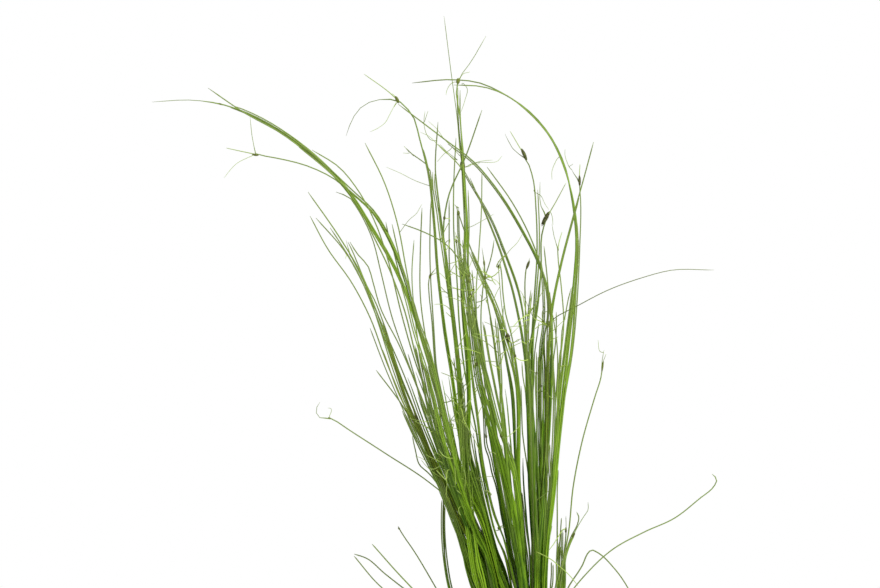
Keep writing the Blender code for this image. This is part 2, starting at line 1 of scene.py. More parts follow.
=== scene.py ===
"""The looks of a potted spikerush: hair-thin green culms with plantlets at their tips, standing in
a plug of stone wool in a small slotted pot. Lengths are in metres, +Z is up, and -Y is the front."""
import json
import math

import bpy
import numpy as np
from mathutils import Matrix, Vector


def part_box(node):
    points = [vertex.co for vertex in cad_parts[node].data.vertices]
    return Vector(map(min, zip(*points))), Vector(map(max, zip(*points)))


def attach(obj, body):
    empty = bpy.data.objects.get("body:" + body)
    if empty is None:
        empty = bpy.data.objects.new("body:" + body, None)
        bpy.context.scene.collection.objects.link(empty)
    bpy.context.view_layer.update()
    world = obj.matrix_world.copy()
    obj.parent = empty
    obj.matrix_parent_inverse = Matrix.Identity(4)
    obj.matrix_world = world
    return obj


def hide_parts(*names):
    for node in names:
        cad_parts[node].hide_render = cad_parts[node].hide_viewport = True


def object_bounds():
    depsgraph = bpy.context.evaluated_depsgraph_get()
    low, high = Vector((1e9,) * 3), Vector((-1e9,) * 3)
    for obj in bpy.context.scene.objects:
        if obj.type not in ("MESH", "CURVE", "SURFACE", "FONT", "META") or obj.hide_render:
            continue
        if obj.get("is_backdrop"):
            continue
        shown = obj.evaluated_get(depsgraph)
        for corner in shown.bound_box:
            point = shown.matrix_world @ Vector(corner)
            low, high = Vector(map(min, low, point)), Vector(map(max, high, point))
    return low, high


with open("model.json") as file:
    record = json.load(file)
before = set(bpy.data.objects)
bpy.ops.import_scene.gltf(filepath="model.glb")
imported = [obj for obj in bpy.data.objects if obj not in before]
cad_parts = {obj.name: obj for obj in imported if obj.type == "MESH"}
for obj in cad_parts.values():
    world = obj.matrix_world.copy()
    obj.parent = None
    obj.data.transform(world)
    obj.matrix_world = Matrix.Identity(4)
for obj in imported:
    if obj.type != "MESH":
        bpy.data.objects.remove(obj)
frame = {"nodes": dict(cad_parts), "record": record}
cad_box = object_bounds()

MM = 0.001

# The pot
# A small tapered net pot, moulded in one shot from black polypropylene: thin walls, a rim rolled over
# outwards, a raised ring to stand on, and eight slots in the wall and in the floor for the roots.
POT_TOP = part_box("pot")[1].z
RIM_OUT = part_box("pot")[1].x
POT_BASE_R = 18.5 * MM
POT_RIM_R = 23.5 * MM
POT_WALL = 1.2 * MM
RIM_DROP = 4 * MM
FOOT_RECESS = 0.4 * MM
CORNER_R = 1.4 * MM
POT_SLOTS = 8
SLOT_WIDTH = 2.4 * MM
SLOT_FOOT, SLOT_TOP = 5 * MM, 30 * MM
FLOOR_SLOT_IN, FLOOR_SLOT_OUT = 7 * MM, 14.9 * MM
COLUMNS_IN_SLOT = 4
COLUMNS_BETWEEN = 10


def grid_faces(rows, columns, closed=True, first=0):
    """The quads of a grid of points, row after row: each joins a point to the next in its row and to
    the two above them. A closed grid joins its last column to its first."""
    row, column = np.meshgrid(np.arange(rows - 1), np.arange(columns - (not closed)), indexing="ij")
    here, right = row * columns + column, row * columns + (column + 1) % columns
    return first + np.stack([here, right, right + columns, here + columns], axis=-1)


def placed(name, data):
    """A new object in the scene."""
    thing = bpy.data.objects.new(name, data)
    bpy.context.scene.collection.objects.link(thing)
    return thing


def new_piece(name, places, faces, material, slot, replaces=(), **marks):
    """A smooth mesh object that rides on the plant. Marks are vectors for each point."""
    mesh = bpy.data.meshes.new(name)
    mesh.from_pydata(places, [], faces)
    mesh.shade_smooth()
    for mark, values in marks.items():
        values = values.astype(np.float32).ravel()
        mesh.attributes.new(mark, "FLOAT_VECTOR", "POINT").data.foreach_set("vector", values)
    mesh.materials.append(material)
    piece = placed(name, mesh)
    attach(piece, "root")
    if replaces:
        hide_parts(*replaces)
    return piece


def shader_node(tree, kind, inputs=(), **settings):
    """Adds a node to a tree: its settings, then each input as a value or as the output to link."""
    node = tree.nodes.new(kind)
    for name, value in settings.items():
        setattr(node, name, value)
    for socket, value in dict(inputs).items():
        if isinstance(value, bpy.types.NodeSocket):
            tree.links.new(value, node.inputs[socket])
        else:
            node.inputs[socket].default_value = value
    return node


def finish_of(name, **constants):
    """A new material with only its Principled BSDF, whose constant sockets are set here."""
    material = bpy.data.materials.new(name)
    material.use_nodes = True
    shader = material.node_tree.nodes["Principled BSDF"]
    for socket, value in constants.items():
        shader.inputs[socket.replace("_", " ")].default_value = value
    return material, material.node_tree, shader


def object_place(tree):
    """The place on the object."""
    return shader_node(tree, "ShaderNodeTexCoord").outputs["Object"]


def marked(tree, name):
    """What the mesh's points are marked with."""
    return shader_node(tree, "ShaderNodeAttribute", attribute_name=name).outputs["Vector"]


def parts(tree, vector):
    """A vector's X, Y and Z."""
    return shader_node(tree, "ShaderNodeSeparateXYZ", {"Vector": vector}).outputs


def stretched(tree, place, *scale):
    """A place with its three measures multiplied."""
    return shader_node(tree, "ShaderNodeMapping", {"Vector": place, "Scale": scale}).outputs[0]


def noise(tree, place, detail, scale=5.0):
    """Soft noise between 0 and 1, in clouds of about 1 / scale."""
    inputs = {"Vector": place, "Detail": detail, "Scale": scale}
    return shader_node(tree, "ShaderNodeTexNoise", inputs).outputs[0]


def ranged(tree, value, low=0.0, high=1.0, to_low=0.0, to_high=1.0):
    """What runs evenly from to_low to to_high while the value goes from low to high."""
    ends = {"Value": value, "From Min": low, "From Max": high, "To Min": to_low, "To Max": to_high}
    return shader_node(tree, "ShaderNodeMapRange", ends).outputs[0]


def worked(tree, operation, *values, **settings):
    """These values added, multiplied or the like."""
    inputs = dict(enumerate(values))
    return shader_node(tree, "ShaderNodeMath", inputs, operation=operation, **settings).outputs[0]


def mixed(tree, share, first, second):
    """A colour that goes from the first to the second with the share."""
    first, second = ((*colour, 1) if isinstance(colour, tuple) else colour for colour in (first, second))
    ends = {"Factor": share, "A": first, "B": second}
    return shader_node(tree, "ShaderNodeMix", ends, data_type="RGBA").outputs["Result"]


def surfaced(tree, shader, colour, height, strength, distance):
    """Links a finish's colour, and its height as a bump."""
    inputs = {"Height": height, "Strength": strength, "Distance": distance}
    tree.links.new(colour, shader.inputs["Base Color"])
    tree.links.new(shader_node(tree, "ShaderNodeBump", inputs).outputs[0], shader.inputs["Normal"])


def moulded_black():
    """Black moulded plastic: fine flow marks down the wall, a worn sheen, and lime dust in clouds."""
    material, tree, shader = finish_of("moulded_black", IOR=1.49)
    here = object_place(tree)
    flow = noise(tree, stretched(tree, here, 900, 900, 60), 3.0)
    clouds = noise(tree, here, 5.0, 140.0)
    dusty = mixed(tree, ranged(tree, clouds, 0.52, 0.75), (0.012, 0.012, 0.013), (0.045, 0.043, 0.038))
    surfaced(tree, shader, dusty, flow, 0.25, 0.05 * MM)
    tree.links.new(ranged(tree, clouds, to_low=0.32, to_high=0.55), shader.inputs["Roughness"])
    return material


def arc(centre, radius, start, end, count=5):
    """Points of a circle's arc in (out, up), from one angle to another in degrees."""
    angle = np.radians(np.linspace(start, end, count))
    return np.stack([centre[0] + radius * np.cos(angle), centre[1] + radius * np.sin(angle)], axis=1)


def pot_profile():
    """The outside of the wall as (out, up), from the floor's middle to the rolled rim's lower edge."""
    wall_slope = (POT_RIM_R - POT_BASE_R) / POT_TOP
    foot_out = POT_BASE_R - CORNER_R + wall_slope * CORNER_R
    floor_outs = [1.5 * MM, 4 * MM, FLOOR_SLOT_IN, 10 * MM, FLOOR_SLOT_OUT]
    wall_ups = [SLOT_FOOT, 13 * MM, 21 * MM, SLOT_TOP, 38 * MM]
    lip = 1.2 * MM
    return np.vstack([
        [(out, FOOT_RECESS) for out in floor_outs],
        [(FLOOR_SLOT_OUT + 0.4 * MM, FOOT_RECESS), (FLOOR_SLOT_OUT + 0.9 * MM, 0)],
        arc((foot_out, CORNER_R), CORNER_R, -90, -6),
        [(POT_BASE_R + wall_slope * up, up) for up in wall_ups],
        [(POT_RIM_R - 0.35 * MM, POT_TOP - 2.2 * MM)],
        arc((RIM_OUT - lip, POT_TOP - lip), lip, 150, 0, 7),
        [(RIM_OUT, POT_TOP - RIM_DROP)],
    ])


def pot_angles(out):
    """The columns' angles at each distance out: those of a slot stay a slot's width apart, so that
    it is parallel-sided, and the others share what is left."""
    half = np.arcsin(np.clip(SLOT_WIDTH / 2 / np.maximum(out, FLOOR_SLOT_IN), 0, 1))[:, None]
    pitch = 2 * math.pi / POT_SLOTS
    inside = half * np.linspace(-1, 1, COLUMNS_IN_SLOT, endpoint=False)
    beside = half + (pitch - 2 * half) * np.linspace(0, 1, COLUMNS_BETWEEN, endpoint=False)
    one = np.hstack([inside, beside])
    turns = pitch * (np.arange(POT_SLOTS) + 1 / 8)
    return (turns[None, :, None] + one[:, None, :]).reshape(len(out), -1)


profile = pot_profile()
angles = pot_angles(profile[:, 0])
rows, columns = angles.shape
out, up = profile[:, :1], np.broadcast_to(profile[:, 1:], angles.shape)
wall = np.stack([out * np.cos(angles), out * np.sin(angles), up], axis=-1)
quads = grid_faces(rows, columns)
middle = (profile[1:] + profile[:-1]) / 2
in_floor = (middle[:, 0] > FLOOR_SLOT_IN) & (middle[:, 0] < FLOOR_SLOT_OUT)
in_wall = (middle[:, 1] > SLOT_FOOT) & (middle[:, 1] < SLOT_TOP)
in_slot = np.arange(columns) % (COLUMNS_IN_SLOT + COLUMNS_BETWEEN) < COLUMNS_IN_SLOT
kept = ~((in_floor | in_wall)[:, None] & in_slot[None, :])
faces = [*quads[kept].tolist(), np.arange(columns)[::-1].tolist()]
pot = new_piece("net_pot", wall.reshape(-1, 3), faces, moulded_black(), "pot_plastic", ["pot"])
thickness = pot.modifiers.new("wall", "SOLIDIFY")
thickness.thickness = POT_WALL
thickness.offset = -1
edges = pot.modifiers.new("soft_edges", "BEVEL")
edges.width = 0.15 * MM
edges.segments = 2
edges.limit_method = "ANGLE"
edges.angle_limit = math.radians(50)

# The stone wool
# A plug of spun rock fibres pressed round the roots: a loose felt, lumpy on top where the culms part
# it, damp and a little green with algae. Stray fibres stand off it.
PLUG_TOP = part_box("wool_plug")[1].z
PLUG_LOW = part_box("wool_plug")[0].z + FOOT_RECESS
PLUG_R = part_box("wool_plug")[1].x
PLUG_BASE_R = POT_BASE_R - POT_WALL - 0.3 * MM
WOOL_COLUMNS = 120
BASE_RINGS, WALL_RINGS, TOP_RINGS = 9, 24, 34
TOP_DROP = 1.2 * MM  # of the top's edge, below its middle
WALL_TOP = 2 * MM  # where the top's lumps fade out down the wall
FIBRES = 3200
FIBRE_R = 0.045 * MM
FIBRE_SIDES = 3
FIBRE_ENDS_IN = 1.5 * MM  # from the plug's edge
POINTED = np.array([0.4, 1, 1, 1, 1, 1, 0.4])  # a fibre's width along it


def lumps(places, size, seed, waves=14):
    """Smooth unevenness between about -1 and 1: a sum of plane waves of random direction and phase
    whose lengths are near the given size."""
    pick = np.random.default_rng(seed)
    heading = pick.normal(size=(waves, 3))
    length = size * pick.uniform(0.6, 1.6, waves) * np.linalg.norm(heading, axis=1)
    heading *= 2 * math.pi / length[:, None]
    phase = pick.uniform(0, 2 * math.pi, waves)
    return np.sin(places @ heading.T + phase).sum(-1) / math.sqrt(waves)


def unit(vectors):
    """Vectors along the last axis, brought to length 1."""
    return vectors / np.maximum(np.linalg.norm(vectors, axis=-1, keepdims=True), 1e-12)


def frames_along(lines, start=None):
    """Two directions square to each line at each of its points, carried from its foot without twist:
    each is the one before it with what points along the line taken out."""
    ahead = unit(np.gradient(lines, axis=1))
    side = np.empty_like(lines)
    if start is None:
        start = np.where(abs(ahead[:, 0, 1:2]) < 0.8, [[0.0, 1.0, 0.0]], [[1.0, 0.0, 0.0]])
    side[:, 0] = unit(start - (start * ahead[:, 0]).sum(-1, keepdims=True) * ahead[:, 0])
    for i in range(1, lines.shape[1]):
        before = side[:, i - 1]
        side[:, i] = unit(before - (before * ahead[:, i]).sum(-1, keepdims=True) * ahead[:, i])
    return ahead, side, np.cross(ahead, side)


def around(count):
    """The angles of so many corners, evenly spaced round a ring."""
    return 2 * math.pi * np.arange(count) / count


def tubes_along(lines, radii, sides, ridges=0.0, ribs=0, flat=1.0, wide=None):
    """Tubes as (places, faces): a ring of corners round each point of each line, of radius
    r (1 + ridges cos(ribs a)) at angle a, thinner by flat square to the wide way. A face closes each
    end."""
    count, rings, _ = lines.shape
    angle = around(sides)
    _, side, up = frames_along(lines, wide)
    ring = radii[..., None] * (1 + ridges * np.cos(ribs * angle))
    places = (
        lines[:, :, None]
        + (ring * np.cos(angle))[..., None] * side[:, :, None]
        + (ring * np.sin(angle) * flat)[..., None] * up[:, :, None]
    )
    starts = np.arange(count)[:, None] * rings * sides
    quads = (starts[..., None] + grid_faces(rings, sides).reshape(1, -1, 4)).reshape(-1, 4)
    feet = (starts + np.arange(sides)[::-1]).tolist()
    tips = (starts + (rings - 1) * sides + np.arange(sides)).tolist()
    return places.reshape(-1, 3), [*quads.tolist(), *feet, *tips]


def felted_wool(name, pale, dark):
    """Damp mineral fibre: clouds of pale and dark, algae where the top is lit, and a matted bump."""
    material, tree, shader = finish_of(name, Roughness=0.95, Specular_IOR_Level=0.2)
    here = object_place(tree)
    clouds = noise(tree, here, 6.0, 260.0)
    lit = ranged(tree, parts(tree, here)["Z"], PLUG_TOP - 3 * MM, PLUG_TOP + 1 * MM, 0.0, 0.75)
    algae = worked(tree, "MULTIPLY", lit, ranged(tree, clouds, 0.45, 0.62))
    colour = mixed(tree, algae, mixed(tree, clouds, dark, pale), (0.09, 0.13, 0.025))
    surfaced(tree, shader, colour, noise(tree, here, 4.0, 2600.0), 0.8, 0.25 * MM)
    return material


across = np.concatenate([
    np.linspace(0.04, 1, BASE_RINGS) * PLUG_BASE_R, np.linspace(PLUG_BASE_R, PLUG_R, WALL_RINGS + 2)[1:-1],
    PLUG_R * np.linspace(1, 0.02, TOP_RINGS) ** 0.8,
])
level = np.concatenate([
    np.full(BASE_RINGS, PLUG_LOW), np.linspace(PLUG_LOW, PLUG_TOP, WALL_RINGS + 2)[1:-1],
    PLUG_TOP - TOP_DROP * np.linspace(1, 0, TOP_RINGS) ** 4,
])
turn = around(WOOL_COLUMNS)
body = across[:, None, None] * np.stack([np.cos(turn), np.sin(turn), 0 * turn], axis=-1)
inward = unit(body)
body[..., 2] = level[:, None]
on_top = np.clip((body[..., 2] - PLUG_TOP + WALL_TOP) / WALL_TOP, 0, 1)
body[..., 2] += on_top * MM * (0.55 * lumps(body, 7 * MM, 1) + 0.3 * lumps(body, 2.2 * MM, 2))
dents = 0.12 * MM * (1 + lumps(body, 3 * MM, 3)) * (across > PLUG_BASE_R)[:, None]
body -= inward * dents[..., None]
quads = grid_faces(len(body), WOOL_COLUMNS).reshape(-1, 4)
foot = np.arange(WOOL_COLUMNS)
faces = [*quads.tolist(), foot[::-1].tolist(), (foot + (len(body) - 1) * WOOL_COLUMNS).tolist()]
felt = felted_wool("felted_wool", (0.34, 0.29, 0.18), (0.16, 0.13, 0.075))
new_piece("wool_felt", body.reshape(-1, 3), faces, felt, "stone_wool", ["wool_plug"])

pick = np.random.default_rng(11)
share = np.linspace(-0.5, 0.5, len(POINTED))[None, :, None]
start_out = (PLUG_R - FIBRE_ENDS_IN) * np.sqrt(pick.uniform(0, 1, FIBRES))
start_turn = pick.uniform(0, 2 * math.pi, FIBRES)
heading = pick.uniform(0, 2 * math.pi, FIBRES)
pitch = pick.normal(0, 0.16, FIBRES)
ahead = np.stack([np.cos(heading) * np.cos(pitch), np.sin(heading) * np.cos(pitch), np.sin(pitch)], 1)
aside = unit(np.cross(ahead, pick.normal(size=(FIBRES, 3))))
middle = np.stack([start_out * np.cos(start_turn), start_out * np.sin(start_turn), np.zeros(FIBRES)], 1)
middle[:, 2] = PLUG_TOP + pick.uniform(-0.3, 0.5, FIBRES) * MM
length = pick.uniform(2, 7, FIBRES)[:, None, None] * MM
bow = pick.normal(0, 0.25, FIBRES)[:, None, None]
fibres = middle[:, None] + length * (share * ahead[:, None] + bow * (share**2 - 0.1) * aside[:, None])
reach = np.linalg.norm(fibres[..., :2], axis=-1, keepdims=True)
fibres[..., :2] *= np.minimum(1, (PLUG_R - 0.4 * MM) / reach)
fibre_radii = np.tile(FIBRE_R * POINTED, (FIBRES, 1))
loose = felted_wool("loose_fibre", (0.5, 0.45, 0.32), (0.3, 0.26, 0.17))
new_piece("wool_fibres", *tubes_along(fibres, fibre_radii, FIBRE_SIDES), loose, "stone_wool")

# The culms
# Each packed culm or strand is one tube. Here it becomes the separate hair-thin stems that it stands
# for: round leafless green stems, faintly ribbed, that cling together and part towards their tips.
CULM_FOOT_R = 0.46 * MM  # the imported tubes' own measure: a strand of n culms is wider by the root of n
CULM_TIP_R = 0.28 * MM
STEMS_IN = {1: 1, 2: 2, 3: 4, 4: 5}  # for a packed strand of so many
FEWER_IN = {  # where not so many show
    "strand_02": 3, "strand_24": 2, "strand_26": 3, "strand_27": 2, "strand_28": 1, "strand_29": 1,
    "strand_31": 2, "strand_32": 2, "strand_33": 3, "strand_36": 1, "strand_38": 3, "strand_39": 3,
    "strand_47": 2, "strand_50": 2,
}
CLINGING = np.array([0, 0, 0.45, 0.5, 0.6, 0.7]) * MM  # off the strand's line, for so many stems
CULM_RINGS = 60
CULM_SIDES = 10
CULM_RIBS = 5
RING_CORNERS = 24
CURVE_STEPS = 24  # from one point to the next, before they are evened out
RING_STEP = 1.85 * MM  # the corners of one ring are nearer to each other than this
TWIN = 1.2 * MM  # a ring this close to another line's is a trace of how the tubes were joined
SHORTEST_SHOOT = 4 * MM
SPIKELET_R, LOWEST_SPIKELET = 0.9 * MM, 30 * MM  # a ring this thick and this far up is a spikelet
FINE_STEPS = 240
RIDGES = 0.07
SHADES = {  # from deep to light, where it isn't left to chance
    "strand_01": 0.85, "strand_02": 0.7, "strand_15": 0.5, "strand_17": 0.15, "strand_22": 0.6,
    "strand_23": 0.4, "strand_24": 0.5, "strand_26": 0.4, "strand_27": 0.6, "strand_28": 0.45,
    "strand_29": 0.4, "strand_31": 0.4, "strand_32": 0.35, "strand_33": 0.3, "strand_38": 0.85,
    "strand_39": 0.6, "strand_40": 0.5, "strand_42": 0.4, "strand_43": 0.35, "strand_47": 0.35,
    "strand_48": 0.4, "strand_50": 0.95, "strand_51": 0.1,
}
FANS = {  # how far these part, of what the others do
    "strand_01": 0.3, "strand_15": 0.3, "strand_17": 0.3, "strand_38": 0.35, "strand_39": 0.35,
}
ARCHES = {"strand_38": 0.62, "strand_39": 0.68}  # only one culm goes further than this share
# painted shade: how much darker the stems are drawn low down, where the crowded foot of the tuft shades them
PAINTED_FOOT_SHADE = -0.22  # of the range from deep to light
PAST_SPIKELET = 0.55  # of a culm's width, in the shoot that goes on
OWN_SHADE = 0.2  # how unlike each other a strand's culms are
WANDER = 0.3 * MM
NUDGES = [  # a route, how far the push is felt, how far it parts the culms, and how far it shifts them
    ([(22.5, 125), (19.5, 100), (17, 80), (14.5, 50)], 4, 0, -1.4),
    ([(-39.5, 140), (-37, 127.5), (-34, 112.5), (-30.5, 99)], 3, 0, -1.6),
    ([(-16, 97.5), (-12.5, 75), (-10, 55), (-8, 30)], 3, 1, 0),
    ([(2, 105), (3, 85), (4.5, 61)], 3, 1, 0),
    ([(-6, 155), (-4.5, 135), (-3.5, 120)], 3, 0.8, 0),
    ([(-24, 85), (-21.5, 70), (-19.5, 55)], 3, 0.8, 0),
]
NUDGE_EDGE = 1.2  # mm beside the route, where the parting turns over
NUDGE_FADES = 25  # mm above and below the route's ends
STREAKS_R, STEMS_APART = 0.4 * MM, 10 * MM  # of the straight stems that the streaks are drawn on
EYE = np.array([-40, -1200, 225]) * MM  # the camera
EYE_SEEN = (EYE[[0, 2]] - [0, PLUG_TOP]) / MM  # its place in the front view
SINGLE_R, TOGETHER_R = 0.36 * MM, 0.5 * MM  # near the foot of a culm on its own and of one in a strand
BLOOM = {1: 0.7, 2: 0.2, 3: 0.0, 4: 0.0}  # how grey, for a packed strand of so many


def in_front_view(places):
    """Where the camera sees these places, as (right of the pot's axis, over the plug's top)."""
    grow = (1 - places[..., 1:2] / EYE[1]) * MM
    return (places[..., [0, 2]] - EYE[[0, 2]]) / grow + EYE_SEEN


def seen_at(route, depth):
    """The places that the camera sees at these points of the front view, at these depths."""
    grow = (1 - depth / EYE[1])[:, None] * MM
    across = (route - EYE_SEEN) * grow + EYE[[0, 2]]
    return np.stack([across[:, 0], depth, across[:, 1]], axis=1)


def nudged(lines, shifting=1):
    """These lines pushed to the left or right in the front view: each row of the table is felt beside
    its route and fades out like a bell, across and past the route's ends. A parting push turns
    over at the route, and a shifting one goes one way."""
    across, height = np.moveaxis(in_front_view(lines), -1, 0)
    push = 0
    for route, reach, part, shift in NUDGES:
        route = np.array(route[::-1])
        off = across - np.interp(height, route[:, 1], route[:, 0])
        past = np.maximum(0, np.maximum(route[0, 1] - height, height - route[-1, 1]))
        felt = np.exp(-((off / reach) ** 2) - (past / NUDGE_FADES) ** 2)
        push = push + felt * (part * np.tanh(off / NUDGE_EDGE) + shift * shifting)
    return lines + push[..., None] * MM * [1, 0, 0]


def through(points, count):
    """A smooth curve through the points, as count points evenly spaced along it: a cubic Hermite
    whose end slopes weigh the neighbouring stretches' slopes by their lengths."""
    chord = np.linalg.norm(np.diff(points, axis=0), axis=1)[:, None]
    slope = np.diff(points, axis=0) / chord
    middle = (slope[:-1] * chord[1:] + slope[1:] * chord[:-1]) / (chord[:-1] + chord[1:])
    tangent = np.vstack([slope[:1], middle, slope[-1:]])
    t = np.linspace(0, 1, CURVE_STEPS, endpoint=False)[None, :, None]
    start, end = points[:-1, None], points[1:, None]
    leave, arrive = (tangent[:-1] * chord)[:, None], (tangent[1:] * chord)[:, None]
    curve = (
        (2 * t**3 - 3 * t**2 + 1) * start + (t**3 - 2 * t**2 + t) * leave
        + (3 * t**2 - 2 * t**3) * end + (t**3 - t**2) * arrive
    )
    curve = np.vstack([curve.reshape(-1, points.shape[1]), points[-1:]])
    return along(curve, np.linspace(0, 1, count))


def run_of(lines):
    """How far along its line each point lies."""
    steps = np.linalg.norm(np.diff(lines, axis=-2), axis=-1)
    return np.concatenate([0 * steps[..., :1], np.cumsum(steps, axis=-1)], axis=-1)


def along(curve, shares):
    """The places at these shares of a line's length."""
    run = run_of(curve)
    return np.stack([np.interp(shares * run[-1], run, column) for column in curve.T], axis=1)


def rings_of(node):
    """A packed tube read back as rings: (centres, radii, the ring before each, or -1 at the foot).
    A ring is the corners that are joined and lie the same number of edges from the foot."""
    mesh = frame["nodes"][node].data
    mesh.calc_loop_triangles()
    corners = np.empty(len(mesh.vertices) * 3, np.float32)
    mesh.vertices.foreach_get("co", corners)
    triangles = np.empty(len(mesh.loop_triangles) * 3, np.int32)
    mesh.loop_triangles.foreach_get("vertices", triangles)
    spots, which = np.unique(corners.reshape(-1, 3), axis=0, return_inverse=True)
    faces = which.ravel()[triangles].reshape(-1, 3)
    sides = faces[:, [[0, 1], [1, 2], [2, 0]]].reshape(-1, 2)
    sides = np.vstack([sides, sides[:, ::-1]])
    layer = np.where(spots[:, 2] < spots[:, 2].min() + 0.05 * MM, 0, -1)
    for step in range(len(spots)):
        reached = sides[layer[sides[:, 0]] == step, 1]
        layer[reached[layer[reached] < 0]] = step + 1
        if (layer >= 0).all():
            break
    ring = np.arange(len(spots))
    close = np.linalg.norm(spots[sides[:, 0]] - spots[sides[:, 1]], axis=1) < RING_STEP
    within = sides[close & (layer[sides[:, 0]] == layer[sides[:, 1]])]
    for _ in range(RING_CORNERS):
        np.minimum.at(ring, within[:, 1], ring[within[:, 0]])
    names, member = np.unique(ring, return_inverse=True)
    size = np.bincount(member)
    centres = np.stack([np.bincount(member, spots[:, axis]) / size for axis in range(3)], axis=1)
    radii = np.bincount(member, np.linalg.norm(spots - centres[member], axis=1)) / size
    before = np.full(len(names), -1)
    back = sides[layer[sides[:, 0]] == layer[sides[:, 1]] + 1]
    before[member[back[:, 0]]] = member[back[:, 1]]
    return centres, radii, before


def lines_of(node):
    """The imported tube's line of rings from foot to tip, their radii, and its side shoots' lines."""
    centres, radii, before = rings_of(node)
    lines = []
    for ring in np.setdiff1d(np.arange(len(before)), before):
        line = [ring]
        while before[line[-1]] >= 0:
            line.append(before[line[-1]])
        lines.append(line[::-1])
    main = max(lines, key=lambda line: run_of(centres[line])[-1])
    shoots = []
    for line in lines:
        own = [ring for ring in line if ring not in main]
        if not own:
            continue
        shoot = centres[[line[len(line) - len(own) - 1], *own]]
        others = np.setdiff1d(np.arange(len(centres)), line)
        alone = np.linalg.norm(centres[others] - shoot[-1], axis=1).min() > TWIN
        if alone and np.linalg.norm(shoot[-1] - shoot[0]) > SHORTEST_SHOOT:
            shoots.append(shoot[np.r_[True, np.linalg.norm(np.diff(shoot, axis=0), axis=1) > 0.1 * MM]])
    return centres[main], radii[main], shoots


def stem_streaks():
    """Node group: a stem's colour up its length, with painted shade that darkens it low down where the tuft is
    crowded. Growth holds the share of its height, its own shade and its grey bloom; Upright is the place on
    the stem as if it stood straight, which stretches the streaks."""
    group = bpy.data.node_groups.new("stem_streaks", "ShaderNodeTree")
    for way, kind, names in (
        ("INPUT", "NodeSocketVector", ("Growth", "Upright")),
        ("INPUT", "NodeSocketColor", ("Foot", "Deep", "Light", "Tip")),
        ("OUTPUT", "NodeSocketColor", ("Colour",)),
        ("OUTPUT", "NodeSocketFloat", ("Roughness", "Height")),
    ):
        for name in names:
            group.interface.new_socket(name, in_out=way, socket_type=kind)
    given = shader_node(group, "NodeGroupInput").outputs
    growth = parts(group, given["Growth"])
    streak = noise(group, stretched(group, given["Upright"], 2600, 2600, 40), 2.0)
    patch = noise(group, stretched(group, given["Upright"], 60, 60, 22), 1.0)
    uneven = worked(group, "MULTIPLY_ADD", patch, 1.1, -0.55)
    fine = worked(group, "MULTIPLY_ADD", streak, 0.8, -0.4)
    shade = worked(group, "ADD", growth["Y"], uneven)
    # painted shade: darker low on each stem, fading out by half its height
    shade = worked(group, "ADD", shade, ranged(group, growth["X"], 0.1, 0.5, PAINTED_FOOT_SHADE, 0.0))
    shade = worked(group, "ADD", shade, fine, use_clamp=True)
    green = mixed(group, shade, given["Deep"], given["Light"])
    green = mixed(group, ranged(group, growth["X"], 0.0, 0.09, 1.0, 0.0), green, given["Foot"])
    high = worked(group, "MAXIMUM", ranged(group, growth["X"], 0.45, 1.15), growth["Z"])
    green = mixed(group, high, green, given["Tip"])
    gloss = ranged(group, streak, to_low=0.36, to_high=0.58)
    shader_node(group, "NodeGroupOutput", {"Colour": green, "Roughness": gloss, "Height": streak})
    return group


streaks = stem_streaks()


def living_stem(name, foot, deep, light, tip):
    """A smooth living stem: satin, a little waxy, with streaks that run up it."""
    material, tree, shader = finish_of(name, Specular_IOR_Level=0.04)
    given = {"Growth": marked(tree, "growth"), "Upright": marked(tree, "upright")}
    for socket, colour in (("Foot", foot), ("Deep", deep), ("Light", light), ("Tip", tip)):
        given[socket] = (*colour, 1)
    grain = shader_node(tree, "ShaderNodeGroup", given, node_tree=streaks).outputs
    surfaced(tree, shader, grain["Colour"], grain["Height"], 0.4, 0.03 * MM)
    tree.links.new(grain["Roughness"], shader.inputs["Roughness"])
    return material


def fanned(line, together, spikelet_share, spread_by, pick):
    """The separate culms of a strand, as lines: each keeps to its own side of the strand's line, a
    culm's width off it at the foot and further out the higher it gets, with a slow wander. Only the
    first goes on past the spikelet."""
    curve = through(line, FINE_STEPS)
    _, side, up = (way[0] for way in frames_along(curve[None]))
    share = np.linspace(0, 1, FINE_STEPS)
    side_of = pick.uniform(0, 2 * math.pi) + around(together)
    fan = pick.gamma(1.0, 0.8, together) * spread_by * MM
    clinging = CLINGING[together]
    stems = []
    for number, (angle, spread) in enumerate(zip(side_of, fan)):
        angle = angle + 1.5 * pick.normal() * share
        off = clinging * (1 - 0.4 * share) + (spread * share**2.5 if together > 1 else 0)
        wander = WANDER * share * np.sin(2 * math.pi * (share * pick.uniform(0.8, 2) + pick.uniform()))
        if number == 0:
            off = off * (1 - share)
            wander = 0
        moved = curve + (off * np.cos(angle) + wander)[:, None] * side + (off * np.sin(angle))[:, None] * up
        tip = 1 if number == 0 else min(pick.uniform(0.8, 1), spikelet_share * pick.uniform(0.85, 1.02))
        stems.append(along(moved, np.linspace(0, 1, CULM_RINGS) * tip))
    return np.array(stems)


def culm_radii(count, thick, pick):
    """A culm keeps its width to the middle, thins to its tip, and ends in a short point."""
    share = np.linspace(0, 1, CULM_RINGS)
    own = thick * pick.uniform(0.85, 1.15, count)[:, None]
    radii = CULM_TIP_R + (own - CULM_TIP_R) * (1 - share**1.7)
    return radii * np.minimum(1, 0.35 + 40 * (1 - share))


def stem_marks(lines, sides, shade, bloom=0.0, height=None):
    """The marks that the stems' finish reads, for each corner of tubes along these lines. A height for
    each point takes the place of its share of the line's rings."""
    count, rings, _ = lines.shape
    if height is None:
        height = np.linspace(0, 1, rings)
    angle = around(sides)
    place = STEMS_APART * np.arange(count)[:, None, None]
    columns = (
        height[..., None], shade[:, None, None], bloom,
        place + STREAKS_R * np.cos(angle), STREAKS_R * np.sin(angle), run_of(lines)[..., None],
    )
    columns = np.stack([np.broadcast_to(column, (count, rings, sides)) for column in columns], axis=-1)
    growth, upright = np.split(columns.reshape(-1, 6), 2, axis=1)
    return {"growth": growth, "upright": upright}


